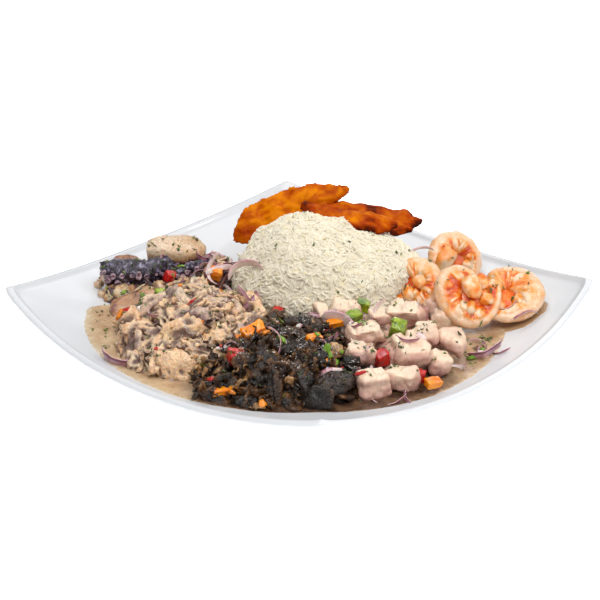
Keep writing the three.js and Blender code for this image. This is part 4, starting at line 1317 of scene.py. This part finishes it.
def suckers(spec, middle, across, up, along, half, rng):
    """Rows of suckers along an arm, as (points, faces, attributes)."""
    steps = len(middle) - 1
    length = np.linalg.norm(np.diff(middle, axis=0), axis=1).sum()
    number = int(length / SUCKER["pitch"])
    cup, cup_faces = sucker_shape()
    places, turns, sizes = [], [], []
    for k in range(1, number):
        for row in spec["rows"]:
            at = int((k + rng.uniform(-0.4, 0.4)) / number * steps)
            lift = math.radians(row - SUCKER["droop"] + rng.uniform(-9, 9))
            out = -across[at] * math.cos(lift) + up[at] * math.sin(lift)
            size = SUCKER["radius"] * half[at] / half.max() * rng.uniform(0.2, 1.2) * math.cos(lift * 0.8)
            reach = ARM_DEPTH * across[at] * -math.cos(lift) + up[at] * math.sin(lift)
            places.append(middle[at] + reach * half[at])
            turns.append(np.stack([along[at], np.cross(out, along[at]), out], 1))
            sizes.append(size)
    shapes = cup[None] * np.array(sizes)[:, None, None] * rng.uniform(0.75, 1.2, (len(sizes), 1, 3))
    points, faces = copies(shapes, cup_faces, np.array(turns), np.array(places))
    return points, faces, dict(sucker=1, flesh=0)


def build_arm(name, spec, seed, material):
    count, sides = 90, 32
    middle, along = smooth_path(spec["path"], count)
    across = np.cross((0, 0, 1), along)
    across /= np.linalg.norm(across, axis=1, keepdims=True)
    up = np.cross(along, across)
    share = np.linspace(0, 1, count)
    end = np.sqrt(np.maximum(1e-3, 1 - np.abs(2 * share - 1) ** 14))
    half = np.interp(share, (0, 0.12, 0.25, 0.6, 1), spec["thickness"]) / 2
    around = np.linspace(0, 2 * math.pi, sides, endpoint=False)
    turned = ARM_DEPTH * across[:, None] * np.cos(around)[None, :, None]
    turned = turned + up[:, None] * np.sin(around)[None, :, None]
    rings = middle[:, None] + (half * end)[:, None, None] * turned
    bumps = rough(rings, 7, seed, 4) + 0.5 * ridged(rings, 4, seed + 3)
    outward_way = rings - middle[:, None]
    outward_way /= np.linalg.norm(outward_way, axis=2, keepdims=True)
    points, faces = loft(rings + 1.2 * bumps[..., None] * outward_way)
    # The flesh shows on the underside, near the tip.
    cut = bell(0.14, 0.045, share)[:, None] * smoothstep(0.2, 0.7, -np.sin(around))[None, :]
    body = (points, faces, dict(sucker=0, flesh=np.concatenate([cut.ravel(), [0, 0]])))
    rows = suckers(spec, middle, across, up, along, half, seeded(seed))
    points, faces, attributes = join([body, rows])
    piece(name + "_skin", fit(points, name), faces, material, "octopus_skin", name, **attributes)


def octopus_flesh_look():
    finish = Finish("octopus_flesh", 0.33, coat=(0.35, 0.1), scatter=(0.3, 0.003))
    shade = finish.ramp(
        finish.varied("hue", 0.006, 4, 0.5),
        (0.0, 228, 206, 178),
        (0.35, 202, 166, 124),
        (0.6, 174, 128, 88),
        (0.8, 116, 70, 74),
        (1.0, 38, 22, 34),
    )
    finish.bump(finish.noise(0.002, 4), 0.001)
    return finish.wear(finish.mottled(shade, 0.002, 0.35, 150, 106, 92))


def octopus_lumps(spots, seed, size, proportions, kinds, **shape):
    """A batch of lumps. `kinds` gives each hue that there is and its share of the lumps."""
    points, faces, cloud, rng = lumps_on(*spots, seed, size, proportions, **shape)
    hue = rng.choice(list(kinds), (len(points), 1), p=list(kinds.values()))
    return points, faces, dict(hue=hue + 0.15 * cloud)


def octopus_strands(spots, seed, length, width, thickness, kinds, **shape):
    """A batch of strands. `kinds` gives each hue that there is and its share of the strands."""
    points, faces, rng = strands_on(*spots, seed, length, width, thickness, **shape)
    hue = rng.choice(list(kinds), (len(points), 1), p=list(kinds.values()))
    return points, faces, dict(hue=hue)


def build_trimmings(flesh):
    """The bits of octopus that lie on the bed, in the tangle and under the arm's end."""
    heap = heap_core(
        "octopus_bed", "octopus_core", "octopus_flesh", flesh, 210,
        voxel=1.5, smoothing=8, sink=3, relief=1.2, grain=9,
    )
    spared = ("octopus_slice_front",)
    pale, mixed = {0.2: 0.3, 0.4: 0.3, 0.6: 0.15, 0.95: 0.25}, {0.2: 0.3, 0.7: 0.2, 0.95: 0.5}
    stringy, lumpy = {0.2: 0.25, 0.75: 0.35, 0.95: 0.4}, {0.3: 0.4, 0.75: 0.3, 0.95: 0.3}
    dark = {0.3: 0.3, 0.6: 0.2, 0.95: 0.5}
    spots = shown_places(heap, 6, 211, spared)
    batches = [octopus_lumps(spots, 212, (6, 13), (1.3, 0.8, 0.5), pale, square=2.8, ridges=0.15)]
    spots = shown_places(heap, 7, 213, spared)
    shape = dict(bend=0.9, lift=(0.5, 3), rings=12)
    batches.append(octopus_strands(spots, 214, (7, 18), (1.2, 3.4), (1, 2.4), mixed, **shape))
    spots = mound_places(TANGLE, 46, 215)
    shape = dict(bend=1.2, lift=(-1, 2), rings=14)
    batches.append(octopus_strands(spots, 216, (8, 20), (1.5, 4), (1.2, 2.6), stringy, **shape))
    spots = mound_places(TANGLE, 30, 217)
    batches.append(octopus_lumps(spots, 218, (6, 13), (1.2, 0.9, 0.7), lumpy, ridges=0.2, sink=3))
    spots = mound_places(ARM_END, 24, 219)
    batches.append(octopus_lumps(spots, 220, (6, 12), (1.3, 0.9, 0.6), dark, ridges=0.2, sink=2))
    scattered("octopus_bits", batches, flesh, "octopus_flesh", "octopus_bed")


def build_octopus():
    skin = octopus_skin_look()
    for seed, (name, spec) in enumerate(ARMS.items()):
        build_arm(name, spec, 200 + seed, skin)
    flesh = octopus_flesh_look()
    build_trimmings(flesh)
    for seed, name in enumerate(("octopus_head", "octopus_slice_front", "octopus_slice_back")):
        is_head = name == "octopus_head"
        points, normals, faces = node_skin(name, 0.8 * MM, HEAD_SMOOTHING if is_head else 4)
        if is_head:
            points = fit(points, name)
            points[:, 2] -= HEAD_SAG * smoothstep(0.3, -1, normals[:, 2])
        folds = rough(points, 9 * MM, 220 + seed, 4)
        low, high = box_corners(name)
        right, _, height = ((points - low) / (high - low)).T
        hue = 0.2 + 0.2 * folds + (0.35 * smoothstep(0.5, 0.9, right) - 0.12 if is_head else 0.36)
        # Darker and more purple towards the bottom: on the slices this is the purple skin along their lower
        # edge; on the head, where it starts higher, it is also painted shade underneath.
        hue += 0.75 * smoothstep(0.5 if is_head else 0.3, 0.08, height + 0.15 * folds)
        folded = raised(points, normals, 0.9 * MM * folds)
        piece(name + "_meat", folded, faces, flesh, "octopus_flesh", name, hue=hue)


# ---- Peppers ------------------------------------------------------------------------------

PEPPER_COLOURS = dict(
    red=((150, 4, 4), (206, 22, 12)),
    orange=((226, 108, 0), (250, 158, 16)),
    green=((66, 100, 0), (158, 178, 16)),
)
PEPPER_NUMBERS = dict(red=6, orange=6, green=4)


def pepper_look(kind):
    dark, bright = PEPPER_COLOURS[kind]
    finish = Finish("pepper_" + kind, 0.22, coat=(0.5, 0.06), scatter=(0.15, 0.002))
    finish.bump(finish.noise(0.0015, 2), 0.0004)
    return finish.wear(finish.ramp(finish.noise(0.006, 3), (0.3, *dark), (0.7, *bright)))


def build_peppers():
    for kind, count in PEPPER_NUMBERS.items():
        material = pepper_look(kind)
        for number in range(1, count + 1):
            node = f"pepper_{kind}_{number}"
            points, normals, faces = node_skin(node, 0.7 * MM, 6)
            uneven = raised(points, normals, 0.9 * MM * rough(points, 7 * MM, 300 + number))
            piece(f"dice_{kind}_{number}", uneven, faces, material, "pepper_" + kind, node)


# ---- Onion --------------------------------------------------------------------------------

# Each slice is part of a ring. Its box, and with it its place, is its node's.
ONIONS = dict(
    onion_rice=dict(radius=12, height=7, start=15, arc=150, tilt=(40, -10)),
    onion_fish=dict(radius=15, height=8, start=20, arc=95, tilt=(24, 8)),
    onion_crab=dict(radius=17, height=6, start=185, arc=110, tilt=(14, 0)),
    onion_shrimp=dict(radius=17, height=5, start=245, arc=95, tilt=(16, -6)),
)


def onion_arc(radius, height, start, arc, seed, thickness=1.3, steps=26):
    """A slice of onion: part of a ring, standing up, with how near each point is to its skin."""
    share = np.linspace(0, 1, steps)[:, None]
    angle = np.radians(start + arc * share)
    around = np.linspace(0, 2 * math.pi, 14, endpoint=False)[None, :]
    taper = np.sqrt(np.maximum(0.02, 1 - np.abs(2 * share - 1) ** 5))
    across = thickness / 2 * taper * np.sign(np.cos(around)) * np.abs(np.cos(around)) ** 0.6
    tall = height / 2 * taper * np.sin(around)
    along = np.concatenate([share, share * 0, share * 0], 1) + seed
    wobble = 0.06 * radius * rough(along, 0.3, seed)[:, None]
    out = radius + across + wobble + 0.12 * tall
    points = np.stack([out * np.cos(angle), out * np.sin(angle), tall + 0 * angle], -1)
    skin = smoothstep(-0.2, 0.8, np.cos(around)) + 0 * share
    top = smoothstep(0.3, 0.9, np.sin(around)) + 0 * share
    made, faces = loft(points)
    return made, faces, np.concatenate([(0.75 * skin + 0.5 * top).ravel(), [0.5, 0.5]])


def onion_look():
    finish = Finish("red_onion", 0.2, coat=(0.4, 0.06), scatter=(0.3, 0.002))
    skin = finish.varied("skin", 0.006, 2, 0.4)
    finish.bump(finish.noise(0.002, 2, stretch=(1, 1, 4)), 0.0003)
    shade = finish.ramp(
        skin, (0.2, 232, 214, 208), (0.55, 212, 176, 180), (0.85, 150, 92, 108), (1.0, 98, 50, 58)
    )
    return finish.wear(shade)


def build_onions():
    material = onion_look()
    for seed, (name, spec) in enumerate(ONIONS.items()):
        arc = {key: spec[key] for key in ("radius", "height", "start", "arc")}
        points, faces, skin = onion_arc(**arc, seed=seed)
        turned = points @ turn_matrix(*spec["tilt"], 0).T
        piece(name + "_slice", fit(turned, name), faces, material, "onion", name, skin=skin)
    rng = seeded(401)
    slivers = []
    for region, count in ONION_REGIONS:
        for place, normal in landed(region, count, rng):
            arc = dict(radius=rng.uniform(6, 14), height=rng.uniform(2, 4), start=0, arc=rng.uniform(60, 150))
            points, faces, skin = onion_arc(**arc, seed=len(slivers) + 10, thickness=0.9, steps=16)
            points = points - points.mean(0)
            turned = points * MM @ frames_on(normal[None], rng, 0.5)[0].T + place + normal * 1.2 * MM
            slivers.append((turned, faces, dict(skin=skin)))
    scattered("onion_slivers", slivers, material, "onion")


# ---- Things dropped on the food -----------------------------------------------------------

# Regions are (x, y, radius along x, radius along y), in millimetres.
ON_CRAB = (-74, -40, 48, 58)
ON_CLAMS = (-15, -88, 58, 54)
ON_FISH = (52, -80, 48, 52)
ON_OCTOPUS = (-90, 42, 48, 38)
ON_RICE = (16, 31, 60, 56)
ON_SHRIMPS = (112, 5, 48, 52)
ON_POOL_LEFT = (-122, -18, 17, 44)
ON_POOL_FRONT = (0, -60, 130, 90)
ON_POOL_RIGHT = (110, -62, 15, 26)
ON_TANGLE = (-57, 47, 13, 20)
# What falls on which region, and how many.
ONION_REGIONS = (
    (ON_CRAB, 9),
    (ON_CLAMS, 8),
    (ON_FISH, 15),
    (ON_OCTOPUS, 5),
    (ON_TANGLE, 16),
    (ON_SHRIMPS, 3),
    (ON_POOL_RIGHT, 5),
)
HERB_REGIONS = (
    (ON_CRAB, 90),
    (ON_CLAMS, 60),
    (ON_FISH, 80),
    (ON_OCTOPUS, 110),
    (ON_RICE, 12),
    (ON_SHRIMPS, 60),
    (ON_POOL_LEFT, 40),
    (ON_POOL_FRONT, 50),
    (ON_POOL_RIGHT, 45),
)
BIT_REGIONS = dict(
    red=((ON_CRAB, 2), (ON_CLAMS, 4), (ON_FISH, 3)),
    orange=((ON_CLAMS, 9), (ON_CRAB, 3), (ON_FISH, 3), (ON_POOL_RIGHT, 2)),
    green=((ON_FISH, 8), (ON_CLAMS, 6), (ON_OCTOPUS, 5), (ON_POOL_RIGHT, 3)),
)
DROP_HEIGHT = 0.2
DROP_LOWEST = 10 * MM  # what falls lower has missed the food
DROP_REACH = 0.84  # as a share of the plate's reach


def landed(region, count, rng):
    """Where things dropped over a region come to rest, and the normals there."""
    x, y, along_x, along_y = region
    graph = bpy.context.evaluated_depsgraph_get()
    found = []
    while len(found) < count:
        angle, share = rng.uniform(0, 2 * math.pi), math.sqrt(rng.random())
        start_x = (x + along_x * share * math.cos(angle)) * MM
        start_y = (y + along_y * share * math.sin(angle)) * MM
        ray = ((start_x, start_y, DROP_HEIGHT), (0, 0, -1))
        hit, place, normal, _, _, _ = bpy.context.scene.ray_cast(graph, *ray)
        reach = DROP_REACH * MM * plate_reach(math.atan2(place.y, place.x))
        if hit and place.z > DROP_LOWEST and math.hypot(place.x, place.y) <= reach:
            found.append((np.array(place), np.array(normal)))
    return found


def landed_on(regions, rng):
    """Where things dropped over (region, count) pairs come to rest, and the normals there."""
    spots = [spot for region, count in regions for spot in landed(region, count, rng)]
    return np.array([place for place, _ in spots]), np.array([normal for _, normal in spots])


def leaf_look():
    finish = Finish("chopped_herb", 0.45, coat=(0.25, 0.15))
    hue = finish.attribute("hue")
    shade = finish.ramp(hue, (0.0, 40, 48, 24), (0.4, 66, 82, 32), (0.7, 100, 124, 40), (1.0, 150, 172, 66))
    vein = finish.step(finish.noise(0.0009, 2), 0.55, 0.7)
    finish.bump(vein, 0.0002)
    return finish.wear(finish.stained(shade, vein, 0.3, 120, 140, 70))


def build_herbs():
    rng = seeded(501)
    places, up = landed_on(HERB_REGIONS, rng)
    # Some lie in clusters of two or four.
    each = rng.choice([1, 2, 4], len(places), p=[0.75, 0.15, 0.1])
    places, up = np.repeat(places, each, 0), np.repeat(up, each, 0)
    count = len(places)
    apart = rng.normal(0, 1.1, (count, 3)) * MM
    places = places + apart - up * np.sum(apart * up, 1, keepdims=True)
    size = rng.gamma(4, 0.32, (count, 1)) * np.array([1.2, 0.6, 0.2]) * rng.uniform(0.7, 1.3, (count, 3)) * MM
    size[:, 2] = np.maximum(size[:, 2], 0.3 * MM)
    shapes, faces, cloud = lumps(2, 2.5, size, 0.5, 0.8, rng, 502)
    leaves, joined = copies(shapes, faces, frames_on(up, rng, 0.6), places + up * 0.25 * MM)
    hue = np.clip(rng.beta(1.6, 2.2, (count, 1)) + 0.1 * cloud, 0, 1)
    batches = [(leaves, joined, dict(hue=hue))]
    stems, joined, rng = strands_on(
        places, up, 503, (1.5, 5), (0.35, 0.7), (0.3, 0.45),
        bend=1.0, ruffle=(0, 0.3), lift=(0.2, 0.7), lean=0.6, rings=4,
    )
    batches.append((stems, joined, dict(hue=rng.beta(1.8, 2.0, (count, 1)))))
    scattered("chopped_herbs", batches, leaf_look(), "herbs")


def build_pepper_bits():
    rng = seeded(601)
    for kind, regions in BIT_REGIONS.items():
        places, up = landed_on(regions, rng)
        count = len(places)
        size = rng.uniform(2.2, 5.5, (count, 1)) * np.array([1.4, 0.8, 0.4])
        size = size * rng.uniform(0.7, 1.3, (count, 3)) * MM
        shapes, faces, _ = lumps(3, 4, size, 0.3, 0.15, rng, 602)
        points, joined = copies(shapes, faces, frames_on(up, rng, 0.6), places + up * 0.6 * MM)
        piece(f"bits_{kind}", points, joined, bpy.data.materials["pepper_" + kind], "pepper_" + kind)


# ---- Stage --------------------------------------------------------------------------------


def build_camera():
    azimuth, elevation, roll = (math.radians(CAMERA[key]) for key in ("azimuth", "elevation", "roll"))
    level = math.cos(elevation)
    back = np.array([math.sin(azimuth) * level, -math.cos(azimuth) * level, math.sin(elevation)])
    flat = np.cross(-back, (0, 0, 1))
    flat /= np.linalg.norm(flat)
    upright = np.cross(flat, -back)
    right = flat * math.cos(roll) + upright * math.sin(roll)
    up = upright * math.cos(roll) - flat * math.sin(roll)
    camera = bpy.data.objects.new("camera", bpy.data.cameras.new("camera"))
    bpy.context.scene.collection.objects.link(camera)
    turn = Matrix(np.stack([right, up, back], 1).tolist())
    place = np.array(CAMERA_TARGET) + back * CAMERA_DISTANCE
    camera.matrix_world = Matrix.Translation(place) @ turn.to_4x4()
    camera.data.lens = CAMERA["lens"]
    camera.data.clip_start = 0.01
    bpy.context.scene.camera = camera


def softbox(name, place, size, power):
    """A round soft light that faces the middle of the plate."""
    light = bpy.data.lights.new(name, "AREA")
    light.shape = "DISK"
    light.size = size
    light.energy = power
    made = bpy.data.objects.new(name, light)
    made.location = place
    made.rotation_mode = "QUATERNION"
    made.rotation_quaternion = (-Vector(place)).to_track_quat("-Z", "Y")
    bpy.context.scene.collection.objects.link(made)


FLOOR_REACH = 12  # metres
SKY = 0.22  # the strength of the light from all round
# The four soft lights are wide. The three sparkles are small, for sharp glints on what is wet.
LIGHTS = dict(
    key=dict(place=(-0.12, -0.4, 1.15), size=0.8, power=7.4),
    fill=dict(place=(0.9, -0.5, 0.7), size=0.9, power=3.8),
    front=dict(place=(-0.2, -1.2, 0.55), size=0.8, power=2.0),
    back=dict(place=(0.3, 1.0, 0.9), size=0.8, power=2.6),
    sparkle=dict(place=(-0.2, 0.4, 1.1), size=0.05, power=3.0),
    spark_front=dict(place=(0.25, -0.6, 0.9), size=0.05, power=2.0),
    spark_right=dict(place=(0.7, 0.1, 0.9), size=0.05, power=1.6),
)


def build_floor():
    corners = FLOOR_REACH * np.array([[-1, -1, 0], [1, -1, 0], [1, 1, 0], [-1, 1, 0]]).astype(float)
    plane = new_mesh("floor", corners, [np.array([[0, 1, 2, 3]])])
    finish = Finish("backdrop", 0.8, Emission_Strength=0.75, Emission_Color=(1, 1, 1, 1))
    pale = finish.ramp(finish.noise(0.6, 1), (0, 250, 250, 250), (1, 253, 253, 253))
    plane.materials.append(finish.wear(pale))
    floor = bpy.data.objects.new("floor", plane)
    bpy.context.scene.collection.objects.link(floor)


def build_stage():
    scene = bpy.context.scene
    scene.view_settings.view_transform = "Standard"
    scene.view_settings.look = "None"
    scene.world = bpy.data.worlds.new("studio")
    scene.world.use_nodes = True
    background = scene.world.node_tree.nodes["Background"]
    background.inputs["Color"].default_value = (1, 1, 1, 1)
    background.inputs["Strength"].default_value = SKY
    for name, light in LIGHTS.items():
        softbox(name, **light)
    build_floor()


build_camera()
build_stage()
build_plate()
build_marinade()
build_juice_and_shadow()
build_rice()
build_plantains()
build_crab()
build_clams()
build_fish()
build_shrimps()
build_octopus()
build_froth_and_glints()
build_peppers()
build_onions()
build_pepper_bits()
build_herbs()
